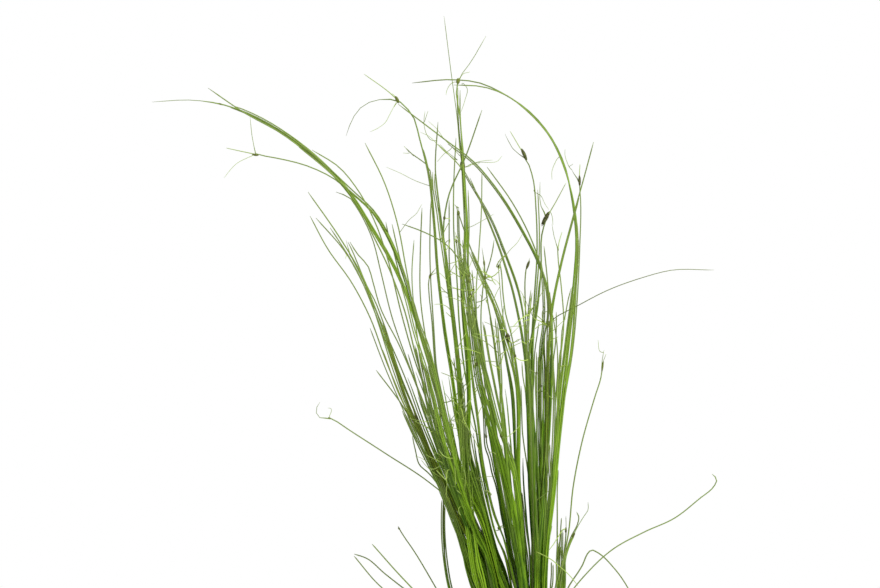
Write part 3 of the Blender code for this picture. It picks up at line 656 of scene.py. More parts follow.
def new_culms(name, lines, radii, shade, bloom, finish, slot, replaces=(), height=None):
    """A piece of ribbed culms along these lines."""
    tubes = tubes_along(lines, radii, CULM_SIDES, RIDGES, CULM_RIBS)
    marks = stem_marks(lines, CULM_SIDES, shade, bloom, height)
    new_piece(name, *tubes, finish, slot, replaces, **marks)


green = living_stem(
    "green_stem", (0.36, 0.42, 0.17), (0.02, 0.07, 0.0), (0.19, 0.34, 0.015), (0.15, 0.19, 0.06)
)
olive = living_stem(
    "olive_stem", (0.30, 0.28, 0.13), (0.03, 0.055, 0.0), (0.25, 0.34, 0.02), (0.13, 0.17, 0.03)
)
slots = {row["node"]: row["material_slot"] for row in frame["record"]["subparts"]}
culm_nodes = sorted(node for node in slots if node.startswith(("culm", "strand")))
plant = {}
for number, node in enumerate(culm_nodes):
    pick = np.random.default_rng(100 + number)
    line, radii, shoots = lines_of(node)
    shoots = [nudged(shoot) for shoot in shoots]
    together = round((radii[0] / CULM_FOOT_R) ** 2)
    run = run_of(line)
    fat = 1 + np.argmax(radii[1:] - np.interp(run, run[[0, -1]], radii[[0, -1]])[1:])
    has_spikelet = radii[fat] > SPIKELET_R and run[fat] > LOWEST_SPIKELET
    spikelet_share = ARCHES.get(node, run[fat] / run[-1] if has_spikelet else 1)
    stems = fanned(line, FEWER_IN.get(node, STEMS_IN[together]), spikelet_share, FANS.get(node, 1), pick)
    stems, line = nudged(stems), nudged(line)
    head = line[fat] if has_spikelet else None
    plant[node] = {"line": line, "shoots": shoots, "stems": stems, "spikelet": head}
    stem_radii = culm_radii(len(stems), SINGLE_R if together == 1 else TOGETHER_R, pick)
    if has_spikelet:
        stem_radii[0, int(spikelet_share * CULM_RINGS) + 1 :] *= PAST_SPIKELET
    shade = SHADES.get(node, pick.uniform(0.2, 0.8))
    shade = np.clip(shade + pick.normal(0, OWN_SHADE, len(stems)), 0, 1)
    finish = olive if slots[node] == "culm_olive" else green
    new_culms(node + "_stems", stems, stem_radii, shade, BLOOM[together], finish, slots[node], [node])

# The thin culms
# Single culms between the strands, each on its own from the plug: it runs down beside the strand that
# it leans on. The routes are read in the front view, as the camera sees them: right of the pot's
# axis and over the plug's top, from the tip down to where the culm meets its strand.
THIN_CULMS = [  # how many together, how far the tip leans back or None in front, how light, and the route
    (2, -4, 0.4, [(-31, 222), (-30.5, 205), (-29.5, 194), (-29, 175), (-28, 160)]),
    (1, 8, 0.4, [(-26, 230), (-25.5, 210), (-26, 195), (-26, 190)]),
    (1, -12, 0.4, [(-35.5, 225), (-35.5, 205), (-35.5, 194), (-34.5, 180)]),
    (2, 10, 0.5, [(-43, 239), (-43, 232), (-42, 225), (-41, 219), (-39.5, 207), (-38, 198), (-36.5, 187)]),
    (1, 14, 0.5, [
        (16.5, 168), (17.5, 162), (18.5, 155), (19, 147), (19, 140), (18.5, 132), (18, 125),
        (17.5, 105),
    ]),
    (1, -10, 0.5, [(18, 169), (18, 160), (17.5, 152), (16.5, 144), (17, 135), (17.5, 127)]),
    (1, 6, 0.6, [(1, 144), (1.5, 137), (2.5, 130), (3, 120), (4, 112)]),
    (1, -8, 0.6, [(0.5, 132), (1, 120), (1.5, 107), (3, 92), (4.5, 77)]),
    (2, 16, 0.4, [
        (-18.5, 164), (-17, 155), (-15.5, 146), (-13.5, 136), (-11.5, 126), (-9.5, 117), (-8, 110),
        (-6.5, 105),
    ]),
    (1, 9, 0.5, [(-33, 146), (-32.5, 141), (-31.5, 135), (-30.5, 127), (-29.5, 120)]),
    (2, -14, 0.2, [
        (-20, 133), (-18.5, 125), (-17.5, 117), (-17, 110), (-16.5, 102), (-15, 95), (-13.5, 87),
        (-11.5, 80),
    ]),
    (1, 12, 0.4, [(19, 90), (18.5, 80), (18.5, 67), (18.5, 55), (19, 42), (19.5, 33)]),
    (1, -16, 0.4, [(-54, 107), (-52.5, 100), (-50, 92), (-46.5, 89), (-42.5, 85), (-41, 83)]),
    (1, 20, 0.5, [(-86, 204), (-84, 200), (-81.5, 194), (-75, 179), (-71.5, 173), (-70, 169), (-68, 164)]),
    (1, 6, 0.5, [(25.5, 181), (24, 175), (22.5, 167), (21, 160), (20.5, 152), (20, 145), (20, 136)]),
    (1, -9, 0.5, [(9.5, 164), (8.5, 157), (7.5, 150), (7, 142), (7, 135), (6, 125)]),
    (1, 11, 0.3, [(8, 139), (8, 130), (8.5, 120), (8.5, 110), (8, 102), (7.5, 90)]),
    (1, -18, 0.5, [(-67, 214), (-65.5, 207), (-63.5, 201), (-62, 195), (-60, 187), (-58, 181)]),
    (1, 15, 0.5, [(-10, 194), (-9, 187), (-8.5, 180), (-7.5, 172), (-6.5, 165)]),
    (1, -7, 0.5, [(-13, 205), (-13.5, 201), (-14.5, 196), (-16, 191), (-18, 185), (-19, 177), (-20, 167)]),
    (1, 13, 0.5, [(-56, 148), (-54, 141), (-52, 134), (-50.5, 127), (-48, 119)]),
    (1, -11, 0.5, [(-5, 153), (-4, 145), (-3, 137), (-2, 128), (-1.5, 120)]),
    (1, 5, 0.5, [(-8, 172), (-8.5, 165), (-8, 158), (-7, 150)]),
    (1, 9, 0.3, [(-28, 116), (-27, 108), (-25.5, 100), (-23.5, 90)]),
    (7, None, 1.25, [(-28, 127), (-27.5, 105), (-26, 80), (-24, 57), (-21.5, 40), (-19.5, 31)]),
    (4, None, 0.3, [(-41, 88), (-36.5, 75), (-31, 60), (-26.5, 45), (-23, 35)]),
    (3, None, 0.2, [(-38.25, 75), (-38.5, 67.5), (-38.25, 55), (-37, 42.5), (-35, 31)]),
    (4, None, 0.25, [
        (-51.5, 152.5), (-50, 144), (-48, 135), (-45.5, 122.5), (-43.5, 114), (-41, 105), (-37.5, 95),
    ]),
    (1, None, 0.5, [(-32, 207), (-30.5, 194), (-29, 180), (-27, 165), (-25, 150), (-24, 135)]),
    (3, None, 0.65, [(-7, 107), (-4.5, 97), (-2.5, 87), (-1.5, 75), (0, 60), (2, 45)]),
    (4, None, 0.2, [(-12, 99), (-9, 85), (-6, 70), (-2.5, 52.5), (0.5, 37.5)]),
    (3, -3, 0.5, [(15, 152), (14.5, 125), (14, 105), (13, 85), (12, 65), (11, 45)]),
    (3, None, 0.15, [(-17, 47), (-15.5, 40), (-14, 33)]),
    (4, None, 0.1, [(0, 83), (1.5, 70), (3, 55), (4, 40)]),
    (3, None, 0.75, [(7, 80), (7.5, 65), (8.5, 50), (8.5, 35)]),
    (2, None, 0.3, [(-19, 55), (-17, 45), (-14, 34)]),
    (2, 0, 0.3, [(21, 60), (21, 50), (21, 40), (20, 31)]),
    (3, -2, 0.55, [(-25, 200), (-22, 193), (-18.5, 185), (-14.5, 177), (-11, 169), (-7.5, 160)]),
    (3, None, 0.45, [
        (-25.5, 175), (-23.5, 162.5), (-20.5, 150), (-17, 137.5), (-14, 125), (-10.5, 112.5), (-6, 100),
        (-2.5, 87.5), (0, 75),
    ]),
    (2, 2, 0.5, [(-30.5, 281), (-30.5, 270), (-30, 260), (-29, 250), (-28, 235), (-27, 215)]),
    (1, -2, 0.3, [(-31.5, 275), (-30.5, 260), (-29.5, 250), (-28.5, 230)]),
    (5, None, 0.5, [(-47.5, 144), (-45, 135), (-42, 124), (-39.5, 110), (-35, 97.5), (-32, 89), (-28.5, 75)]),
    (2, None, 0.9, [
        (-59.5, 185), (-56, 172.5), (-53, 160), (-50, 150), (-46.5, 139), (-43, 125), (-39.5, 110),
    ]),
    (2, None, 0.8, [
        (-54, 176), (-50.5, 163.5), (-46.5, 153.5), (-43.5, 142.5), (-40, 127.5), (-36.5, 112.5),
    ]),
    (5, None, 0.5, [
        (-29, 200), (-27, 185), (-25, 170), (-23.5, 157.5), (-22, 145), (-20, 132.5), (-17, 122.5),
        (-14, 110), (-10, 97.5), (-7, 85), (-4, 72.5), (-2, 60),
    ]),
    (2, None, 0.6, [(-29, 135), (-28, 125), (-27.5, 112.5), (-26, 100)]),
    (2, None, 0.7, [(-25.5, 112.5), (-24, 100), (-22, 87.5)]),
    (2, None, 0.45, [(6, 180), (4.5, 167.5), (4, 152.5), (5, 140)]),
    (3, None, 0.5, [(14, 105), (14, 95), (14.5, 82.5), (13.5, 70)]),
    (2, None, 0.9, [(20.5, 150), (19.5, 137.5), (19, 127.5), (19.5, 115)]),
    (2, 0, 0.5, [(10.5, 194), (11.5, 185), (12, 175), (12.5, 165)]),
    (3, None, 0.4, [
        (-58, 119.5), (-54.5, 111.5), (-50.5, 103), (-46, 94), (-41.5, 85), (-38, 77.5), (-34.5, 67.5),
    ]),
    (4, -2, 0.6, [(20, 55), (19.5, 45), (19, 31)]),
    (2, -2, 0.4, [(16, 44), (16, 37.5), (15.5, 31)]),
    (2, 3, 0.35, [
        (-29, 241.5), (-26, 235.5), (-21, 227), (-16, 218.5), (-11.5, 209), (-8, 200), (-5, 192.5),
    ]),
    (2, None, 1, [(29, 207.5), (28.5, 194), (27.5, 180), (25.5, 165)]),
    (4, None, 0.35, [(9.5, 149), (9.5, 135), (9.5, 125), (9.5, 110), (10, 95), (10.5, 80)]),
    (1, None, 0.8, [(25.5, 164), (24.5, 152.5), (23.5, 140), (22.5, 127.5)]),
    (3, None, 0.4, [(-28, 205), (-27, 194), (-25.5, 182.5), (-23.5, 171), (-22, 160)]),
    (2, None, 0.5, [(-12, 166), (-10.5, 150), (-9.5, 135), (-9.5, 120)]),
]
OLD_CULMS = [  # dead or dying ones, in the same way
    (2, None, 0.1, [(14.5, 180), (15, 170), (14.25, 160), (14, 145), (13.75, 127), (13.5, 110)]),
    (2, None, 0.2, [
        (-66.5, 157), (-64.5, 149), (-62, 140), (-58.5, 129), (-54.5, 119), (-50, 109), (-45, 99),
    ]),
    (2, None, 0.3, [(-53.5, 116), (-50.5, 109), (-46.5, 100), (-42, 88), (-38, 79)]),
    (1, None, 0.9, [(-68.5, 150), (-66, 143), (-62.5, 133), (-59, 124)]),
]
THIN_R = 0.43 * MM
THIN_BLOOM = 0.05  # how grey
SIDE_BY_SIDE = 0.8 * MM
IN_FRONT = 0.6 * MM
PASSING = 1.2  # mm in the front view
NEARBY = 2.5  # mm in the front view
CONE_HEIGHTS, CONE_DEPTHS = (0, 195), (-22, -98)  # mm
SLANT_COST, DEPTH_COST = 5, 0.3  # mm, for a culm that crosses squarely, and for each mm of depth
BESIDE = (0.9, 1.7)  # mm at the foot, from the line of the culm that it leans on
EVERY, SHORT_BY = 6, 8  # steps of that line, between the points that it follows and below the joint
ROUNDINGS = 10
JOINT_RINGS = 3

smooth = {node: through(plant[node]["line"], FINE_STEPS) for node in culm_nodes}
seen = {node: in_front_view(smooth[node]) for node in culm_nodes}
all_seen = np.concatenate([seen[node] for node in culm_nodes])
all_depths = np.concatenate([smooth[node][:, 1] for node in culm_nodes])


def carrier_of(spot, heading=None, depth=None):
    """The culm that passes nearest to a spot of the front view, and the step along it that does. With
    a heading, a culm that crosses it at a slant counts as further away, by up to a few millimetres.
    With a depth, so does one at another depth."""
    best = (math.inf, 0, None)
    for node in culm_nodes:
        away = np.linalg.norm(seen[node] - spot, axis=1)
        step = max(int(np.argmin(away)), 2)
        cost = away[step]
        if heading is not None:
            along_it = unit(seen[node][step] - seen[node][step - 2])
            cost += SLANT_COST * abs(along_it[0] * heading[1] - along_it[1] * heading[0])
        if depth is not None:
            cost += DEPTH_COST * abs(smooth[node][step, 1] - depth) / MM
        best = min(best, (cost, step, node), key=lambda found: found[0])
    return best[2], best[1]


def foremost_at(spot):
    """Of the culms that pass a spot of the front view, the one nearest to the eye, and its step there."""
    close = []
    for node in seen:
        away = np.linalg.norm(seen[node] - spot, axis=1)
        step = max(int(np.argmin(away)), 2)
        if away[step] < PASSING:
            close.append((smooth[node][step, 1], node, step))
    return min(close, key=lambda found: found[0])[1:] if close else carrier_of(spot)


def foremost_along(route):
    """The depth of the foremost culm near each point of a route of the front view, or infinity."""
    away = np.linalg.norm(all_seen[None] - route[:, None], axis=-1)
    return np.where(away < NEARBY, all_depths[None], np.inf).min(axis=1)


def in_front_of_all(route, clear):
    """Depths along a route of the front view: the straight run in depth that fits the foremost culms
    near each of its points best and comes no nearer to the pot on its way up, brought forward until it
    is that far before them all, but not past a cone in front of the tuft."""
    foremost = foremost_along(route)
    crossed = np.isfinite(foremost)
    if not crossed.any():
        node, step = carrier_of(route[0])
        return np.full(len(route), smooth[node][step, 1])
    share = np.linspace(0, 1, len(route))
    *slope, level = np.polyfit(share[crossed], foremost[crossed], min(1, crossed.sum() - 1))
    depths = level + min(0, *slope, 0) * share
    depths -= max(0, (depths - foremost)[crossed].max())
    return np.maximum(depths, np.interp(route[:, 1], CONE_HEIGHTS, CONE_DEPTHS) * MM) - clear


def joined(route, lean, pick):
    """A thin culm's line from its foot up: the lower part keeps beside its carrier, closer the
    higher it gets, and the upper part is the route, whose depth leaves the carrier's with the power
    1.5 of the share of its length. Without a lean it runs in front of the others. Averaging over its
    neighbours rounds each point's depth, and near the joint its place too."""
    route = np.array(route[::-1], float)
    run = run_of(route)
    if lean is None:
        depth = in_front_of_all(route, IN_FRONT)
        node, step = carrier_of(route[0], unit(route[1] - route[0]), depth[0])
    else:
        node, step = carrier_of(route[0], unit(route[1] - route[0]))
        depth = smooth[node][step, 1] + lean * MM * (run / run[-1]) ** 1.5
    upper = seen_at(route, depth)
    turn = pick.uniform(0, 2 * math.pi)
    beside = pick.uniform(*BESIDE) * MM * np.array([math.cos(turn), math.sin(turn), 0])
    lower = smooth[node][: max(step - SHORT_BY, SHORT_BY) : EVERY]
    share = np.linspace(0, 1, len(lower))[:, None]
    lower = lower + beside * (1 - share) + (upper[0] - smooth[node][step]) * share**2
    line = through(np.vstack([lower, upper]), CULM_RINGS)
    rounded = line.copy()
    for _ in range(ROUNDINGS):
        rounded[1:-1] = (rounded[:-2] + 2 * rounded[1:-1] + rounded[2:]) / 4
    from_joint = np.arange(CULM_RINGS) - np.argmin(np.linalg.norm(line - upper[0], axis=1))
    near = np.exp(-((from_joint / JOINT_RINGS) ** 2))[:, None] * [1, 0, 1] + [0, 1, 0]
    return line + near * (rounded - line)


def side_by_side(rows, pick):
    """The lines and shades of culms in these rows. Those that go together lie side by side in the
    front view, and each starts its route a little lower than the one before."""
    lines, shades = [], []
    for together, lean, shade, route in rows:
        for number in range(together):
            aside = (number - (together - 1) / 2) * SIDE_BY_SIDE / MM + pick.normal(0, 0.12)
            own = np.array(route, float) + [aside, 0]
            own[0] += (own[1] - own[0]) * min(0.8, number * pick.uniform(0.05, 0.2))
            lines.append(joined(own, lean, pick))
            shades.append(max(0, shade + pick.normal(0, 0.1)))
    return np.array(lines), np.array(shades)


thin_lines = []
for name, rows, finish, slot, seed in (
    ("thin_culms", THIN_CULMS, green, "culm_green", 7), ("old_culms", OLD_CULMS, olive, "culm_olive", 8),
):
    pick = np.random.default_rng(seed)
    lines, shade = side_by_side(rows, pick)
    lines = nudged(lines, shifting=0)
    new_culms(name, lines, culm_radii(len(lines), THIN_R, pick), shade, THIN_BLOOM, finish, slot)
    thin_lines.append(lines)
    for number, line in enumerate(lines):
        smooth[name, number] = through(line, FINE_STEPS)
        seen[name, number] = in_front_view(smooth[name, number])
all_seen = np.concatenate(list(seen.values()))
all_depths = np.concatenate([smooth[key][:, 1] for key in seen])

# The young culms
# Culms that are still growing fill the foot of the tuft: each comes up between two neighbours and
# ends, blunt and pale, a few centimetres up.
YOUNG = 120
YOUNG_RINGS = 26
NEIGHBOURS = 7 * MM  # apart, at the height below
COMPARED_AT = 85 * MM
SHORTEST, LONGEST = 45 * MM, 165 * MM
YOUNG_R = (0.38, 0.56)  # mm
YOUNG_HEIGHT = 0.6  # of a grown culm's change of colour

pick = np.random.default_rng(21)
lengths = {node: run_of(smooth[node])[-1] for node in culm_nodes}
tall = [node for node in culm_nodes if smooth[node][-1, 2] > PLUG_TOP + LONGEST]
spots = np.array([along(smooth[node], np.array([COMPARED_AT / lengths[node]]))[0] for node in tall])
apart = abs(spots[:, None] - spots[None, :]) * [1, 0.5, 1]
apart = np.linalg.norm(apart, axis=-1) + np.eye(len(tall))
young_lines = []
for number in range(YOUNG):
    first = pick.integers(len(tall))
    near = np.nonzero(apart[first] < NEIGHBOURS)[0]
    if not len(near):
        continue
    second = near[pick.integers(len(near))]
    height = SHORTEST + (LONGEST - SHORTEST) * pick.beta(1.6, 1.5)
    share = np.linspace(0, height, YOUNG_RINGS)
    one, other = (along(smooth[tall[i]], share / lengths[tall[i]]) for i in (first, second))
    between = pick.uniform(0.15, 0.85)
    lean = pick.normal(0, [1.6, 3.5, 0]) * MM
    young_lines.append(one + between * (other - one) + (share[:, None] / height) ** 2 * lean)
young_lines = nudged(np.array(young_lines), shifting=0)
share = np.linspace(0, 1, YOUNG_RINGS)
young_radii = pick.uniform(*YOUNG_R, len(young_lines))[:, None] * MM * (1 - 0.4 * share**3)
young_radii *= np.minimum(1, 0.3 + 12 * (1 - share))
shade = pick.uniform(0, 1, len(young_lines))
height = YOUNG_HEIGHT * share
new_culms("young_culms", young_lines, young_radii, shade, 0.0, green, "culm_green", height=height)

# The plantlets
# Hair-thin shoots and roots that sprout from the spikelets and from the joints where culms fell over.
# They are soft, pale and yellow-green, and grow out of the culm that carries them.
SHOOT_RINGS = 18
SHOOT_SIDES = 6
SHOOT_R, WIDEST_R, BRIGHT_R, STRAIGHT_R = 0.17, 0.27, 0.28, 0.3  # mm
STRAIGHT = 0.99  # from end to end, of its length
GROWS_FROM = 0.5 * MM  # in front of its culm's line
PASSES_BY = 2 * MM  # in front of what it crosses
MOST_LEAN = 12 * MM
FAINT_SHOOTS = [  # read in the front view, from the tip to where each grows
    [(-67, 241.5), (-60, 238.5), (-52, 234.5), (-45, 232)],
    [(-49, 223), (-52, 218), (-55, 215.5), (-60, 209)],
    [(-58, 252), (-55.5, 249)],
    [(-58.5, 248.5), (-55.5, 248.5)],
    [(-63, 271.5), (-61, 274)],
    [(-46, 269.5), (-47.5, 265), (-48, 264)],
    [(-47.5, 269.5), (-48, 263), (-46.5, 257.5), (-44.5, 255)],
    [(-40, 253), (-37.5, 250), (-31.5, 245)],
    [(-50, 259), (-45, 256.5), (-41.5, 253), (-37.5, 249), (-32.5, 245), (-30, 241.5)],
    [(-46, 264.5), (-42, 261), (-37.5, 255), (-34, 251.5), (-30, 247)],
    [(-41.5, 244), (-38, 248), (-34, 251.5)],
    [(-13.5, 245), (-19, 244.5), (-24.5, 243), (-28, 241.5)],
    [(-25, 289), (-28.5, 288), (-30.5, 284.5)],
    [(-37, 277.5), (-36.5, 280), (-34, 283.5), (-32, 284)],
    [(-29.5, 269), (-27.5, 275), (-26.5, 281), (-29, 283.5)],
    [(14.5, 220), (12.5, 223), (10.5, 227), (7, 230)],
    [(16, 235), (16, 239.5), (17.5, 243.5), (19, 246)],
    [(22.5, 250.5), (22.5, 247.5), (23.5, 244), (25, 241)],
    [(26.5, 243), (25, 241)],
    [(16.5, 212.5), (16, 217), (15, 219)],
    [(0, 180), (2, 176.5), (4, 172), (5.5, 169), (6.5, 167)],
    [(-13, 218), (-20, 214), (-25, 211.5), (-27, 211)],
    [(1.5, 208.5), (-1.5, 203.5), (-5, 200), (-7, 197.5), (-10, 195)],
    [(29.5, 193), (29, 190)],
    [(29.5, 184), (29, 183.5)],
    [(-38, 129), (-36, 126.5), (-34, 124)],
    [(-3.5, 154), (-1, 154.5), (0, 155.5)],
    [(12.5, 173), (11, 167.5), (12.5, 164)],
    [(39, 155), (40.5, 149)],
    [(43, 148), (41.5, 144)],
    [(-54, 118), (-51, 115.5)],
]
BRIGHT_SHOOTS = [  # these cross in front of the culms
    [(-17.5, 189.5), (-16, 187), (-14.5, 186.5)],
    [(-12, 182.5), (-13.5, 184.5), (-14.5, 186.5)],
    [(-20, 190), (-17, 188), (-14.5, 186.5)],
    [(-10, 190), (-12.5, 187.5), (-14.5, 186.5)],
    [(-7.5, 197.5), (-10, 195), (-11.5, 191.5)],
    [(-22.5, 179.5), (-25, 179.5)],
    [(-16, 177), (-21, 174)],
    [(-20, 172.5), (-22.5, 171)],
    [(-18, 142), (-23.5, 136.5), (-27.5, 132.5), (-32.5, 127), (-36, 124)],
    [(-10, 144), (-17.5, 144.5), (-25, 144.5)],
    [(17, 125), (14.5, 127), (11.5, 129.5)],
    [(15, 80), (10.5, 76.5), (5, 72.5)],
    [(29, 32), (25.5, 36.5), (22.5, 39.5), (20, 41.5), (16, 45), (12.5, 47), (7.5, 49)],
    [(14.5, 50), (16.5, 52.5), (19, 56.5), (21, 59.5), (22.5, 60.5)],
    [(-2.5, 146.5), (0, 145), (3.5, 145)],
    [(-0.5, 155.5), (-4, 153.5), (-6, 156)],
    [(6.5, 168.5), (7, 166), (10, 164.5), (13.5, 162.5)],
    [(7.5, 160.5), (10, 162.5), (13, 162.5)],
    [(-40, 92), (-43, 90.5), (-45, 92)],
    [(-36.5, 97.5), (-37.5, 91), (-36.5, 84), (-35.5, 76)],
    [(-42, 90), (-39, 87), (-37, 85), (-36, 90)],
    [(-18, 79.5), (-16, 79.5), (-14.5, 77.5)],
    [(-13, 59.5), (-10.5, 60), (-8.5, 62)],
    [(-25, 109), (-28, 115), (-30, 121)],
    [(-33, 101), (-35, 107), (-34, 113)],
    [(20, 140), (22.5, 142)],
]
BEADS = [  # small dark spikelets on the culms, in the front view
    (-30, 222), (-14.5, 186.5),
    (-32.5, 208), (-38.5, 216), (-32.5, 180.5), (-31.5, 146.5), (-25.5, 187), (-25.5, 184), (-25, 177),
    (-14.5, 186.5), (-11.5, 191.5), (-19, 176), (-22.5, 180), (-6, 158), (-2.5, 146.5), (10.5, 164),
    (5.5, 168.5), (-18, 106.5), (-11.5, 60), (-16, 79.5), (-41, 95.5), (7.5, 138), (10.5, 132),
    (-22, 142.5), (22, 60.5), (-87, 198), (-67, 158.5), (-54, 117), (-45.5, 187.5), (-10.5, 106.5),
]
CURL_BOXES = [  # how many curls, and the corners of the front view that they start in
    (52, (-40, 160), (-9, 208)),
    (40, (-38, 110), (-19, 150)),
    (30, (-46, 74), (-34, 118)),
    (18, (-14, 138), (-4, 160)),
    (16, (3, 150), (14, 168)),
    (26, (-34, 66), (-8, 110)),
]


def sprout(route, before, pick):
    """A shoot's line from where it grows out: the route in the front view. It either grows from the
    foremost culm there and leans to the front, or leaves the nearest one by a few millimetres."""
    route = np.array(route[::-1], float)
    share = np.linspace(0, 1, len(route))
    if before:
        node, step = foremost_at(route[0])
        depth = smooth[node][step, 1] - GROWS_FROM
        lean = np.clip((depth - foremost_along(route)).max() + PASSES_BY, PASSES_BY, MOST_LEAN)
        depth = depth - lean * share**0.7
    else:
        node, step = carrier_of(route[0])
        depth = smooth[node][step, 1] + pick.uniform(-6, 4) * MM * share
    line = seen_at(route, depth)
    start = smooth[node][step]
    if np.linalg.norm(line[0] - start) > 0.6 * MM:
        line = np.vstack([start, line])
    return through(line, SHOOT_RINGS)


def curls(starts, ahead, length, pick):
    """Arcs of helices from these places: each goes round a circle of its own radius in its own plane
    and along its axis at the same time, and sets out roughly along its culm."""
    count = len(starts)
    first = unit(ahead + pick.normal(0, 0.5, (count, 3)))
    second = unit(np.cross(first, pick.normal(size=(count, 3))))
    third = np.cross(first, second)
    run = np.linspace(0, 1, SHOOT_RINGS)[None, :, None] * length[:, None, None]
    radius = pick.uniform(0.5, 3, count)[:, None, None] * length[:, None, None]
    pitch = pick.uniform(-0.5, 0.5, count)[:, None, None]
    return (
        starts[:, None] + radius * np.sin(run / radius) * first[:, None]
        + radius * (1 - np.cos(run / radius)) * second[:, None] + pitch * run * third[:, None]
    )


pick = np.random.default_rng(31)
shoot_lines = [through(shoot, SHOOT_RINGS) for node in culm_nodes for shoot in plant[node]["shoots"]]
strong = len(shoot_lines)
shoot_lines += [sprout(route, False, pick) for route in FAINT_SHOOTS]
faint = len(shoot_lines)
shoot_lines += [sprout(route, True, pick) for route in BRIGHT_SHOOTS]
all_places = np.concatenate([smooth[key] for key in seen])
all_ways = np.concatenate([unit(np.gradient(smooth[key], axis=0)) for key in seen])
chosen = []
for count, low, high in CURL_BOXES:
    inside = np.nonzero(((all_seen > low) & (all_seen < high)).all(axis=1))[0]
    inside = inside[np.argsort(all_depths[inside])[: len(inside) // 2]]
    chosen.append(pick.choice(inside, count))
chosen = np.concatenate(chosen)
length = pick.gamma(3, 2.2, len(chosen)) * MM + 2 * MM
curl_lines = curls(all_places[chosen], all_ways[chosen], length, pick)
bead_spots = [foremost_at(bead) for bead in BEADS]
bead_places = np.array([smooth[node][step] for node, step in bead_spots])
heading = pick.normal(0, 1, bead_places.shape)
whiskers = curls(bead_places, heading, pick.uniform(2, 5, len(BEADS)) * MM, pick)
shoot_lines = np.concatenate([shoot_lines, curl_lines, whiskers])
shade = pick.uniform(0.4, 1.0, len(shoot_lines))
shade[:faint] *= 0.4
thick = pick.uniform(SHOOT_R, WIDEST_R, len(shoot_lines))
end_to_end = np.linalg.norm(shoot_lines[:, -1] - shoot_lines[:, 0], axis=1)
straight = end_to_end > STRAIGHT * run_of(shoot_lines)[:, -1]
thick[:strong] = np.where(straight[:strong], STRAIGHT_R, SHOOT_R)
thick[strong:faint] = SHOOT_R
thick[faint : faint + len(BRIGHT_SHOOTS)] = BRIGHT_R
share = np.linspace(0, 1, SHOOT_RINGS)
shoot_radii = thick[:, None] * MM * (1 - 0.35 * share) * np.minimum(1, 0.4 + 8 * (1 - share))
height = np.where(np.arange(len(shoot_lines))[:, None] < strong, 1, share)
marks = stem_marks(shoot_lines, SHOOT_SIDES, shade, height=height)
pale = living_stem(
    "young_shoot", (0.13, 0.20, 0.012), (0.12, 0.17, 0.03), (0.33, 0.45, 0.09), (0.26, 0.35, 0.10)
)
tubes = tubes_along(shoot_lines, shoot_radii, SHOOT_SIDES)
new_piece("plantlet_shoots", *tubes, pale, "culm_green", **marks)

# The spikelets
# Each is a spindle of small overlapping scales that wind round its axis, dark olive brown and dry,
# with a paler papery edge. The culm goes on through it, and plantlets sprout between the scales.
SCALES = 22
SCALE_RINGS = 6
SCALE_SIDES = 8
GOLDEN_ANGLE = math.pi * (3 - math.sqrt(5))
SPIKELETS = {  # length and width in mm, ripeness, mm past the ring, and turn in the front view in degrees
    "strand_01": (3.2, 1.0, 0.3, 0, 0), "culm_04": (3.8, 1.4, 0.6, 0.5, 0),
    "culm_11": (4.0, 1.1, 0.15, 0, 0), "strand_15": (5.5, 1.4, 0.5, -1.5, 0),
    "culm_16": (1.8, 0.9, 0.4, 0, 0), "strand_17": (4.8, 2.0, 1.0, 0, 0),
    "culm_18": (1.6, 1.1, 0.4, 1.8, 0), "strand_22": (4.4, 1.9, 0.55, 0, 25),
    "culm_25": (1.6, 0.8, 0.35, 0, 0), "strand_26": (6.5, 3.0, 0.55, 0, 0),
    "strand_27": (3.4, 2.2, 0.25, 0.5, 0), "strand_32": (4.0, 1.1, 0.3, 0, 0),
    "strand_36": (3.4, 1.2, 0.1, 0, 0), "culm_41": (6.8, 1.6, 0.95, 0.3, 0),
    "strand_42": (7.6, 2.1, 0.95, 2.6, 0), "strand_43": (8.8, 2.3, 1.0, -1.6, 12),
    "culm_45": (2.4, 0.9, 0.2, 0, 0), "culm_46": (6.0, 1.4, 0.85, 2.8, 14),
    "strand_50": (5.4, 2.4, 1.0, 0.6, 0), "strand_51": (4.6, 2.4, 1.0, 0, 0),
    "culm_54": (7.0, 1.0, 0.45, 2.0, 0), "strand_55": (3.6, 1.3, 0.8, 0.5, 0),
    "strand_58": (2.4, 1.2, 0.7, 0, 0),
}


def spikelet(centre, ahead, long, wide, pick):
    """The scales' lines, radii and wide ways, up a spindle of radius wide cos(pi s) at the share s of
    its length, each a golden angle on from the last, its tip a little further out than its foot."""
    spot = np.linspace(-0.46, 0.26, SCALES)
    turn = GOLDEN_ANGLE * np.arange(SCALES) + pick.uniform(0, 2 * math.pi)
    side = unit(np.cross(ahead, [0.3, 1, 0.1]))
    up = np.cross(ahead, side)
    out = np.cos(turn)[:, None] * side + np.sin(turn)[:, None] * up
    share = np.linspace(0, 1, SCALE_RINGS)
    height = spot[:, None] + 0.24 * share
    from_axis = wide * (0.5 + 0.28 * share) * np.cos(math.pi * np.clip(height, -0.49, 0.49)) ** 0.6
    lines = centre + (height * long)[..., None] * ahead + from_axis[..., None] * out[:, None]
    along_scale = np.sin(math.pi * (0.12 + 0.82 * share)) ** 0.7
    size = 0.62 * wide * np.cos(math.pi * 0.85 * spot)[:, None] * along_scale
    return lines, size, np.cross(ahead, out)


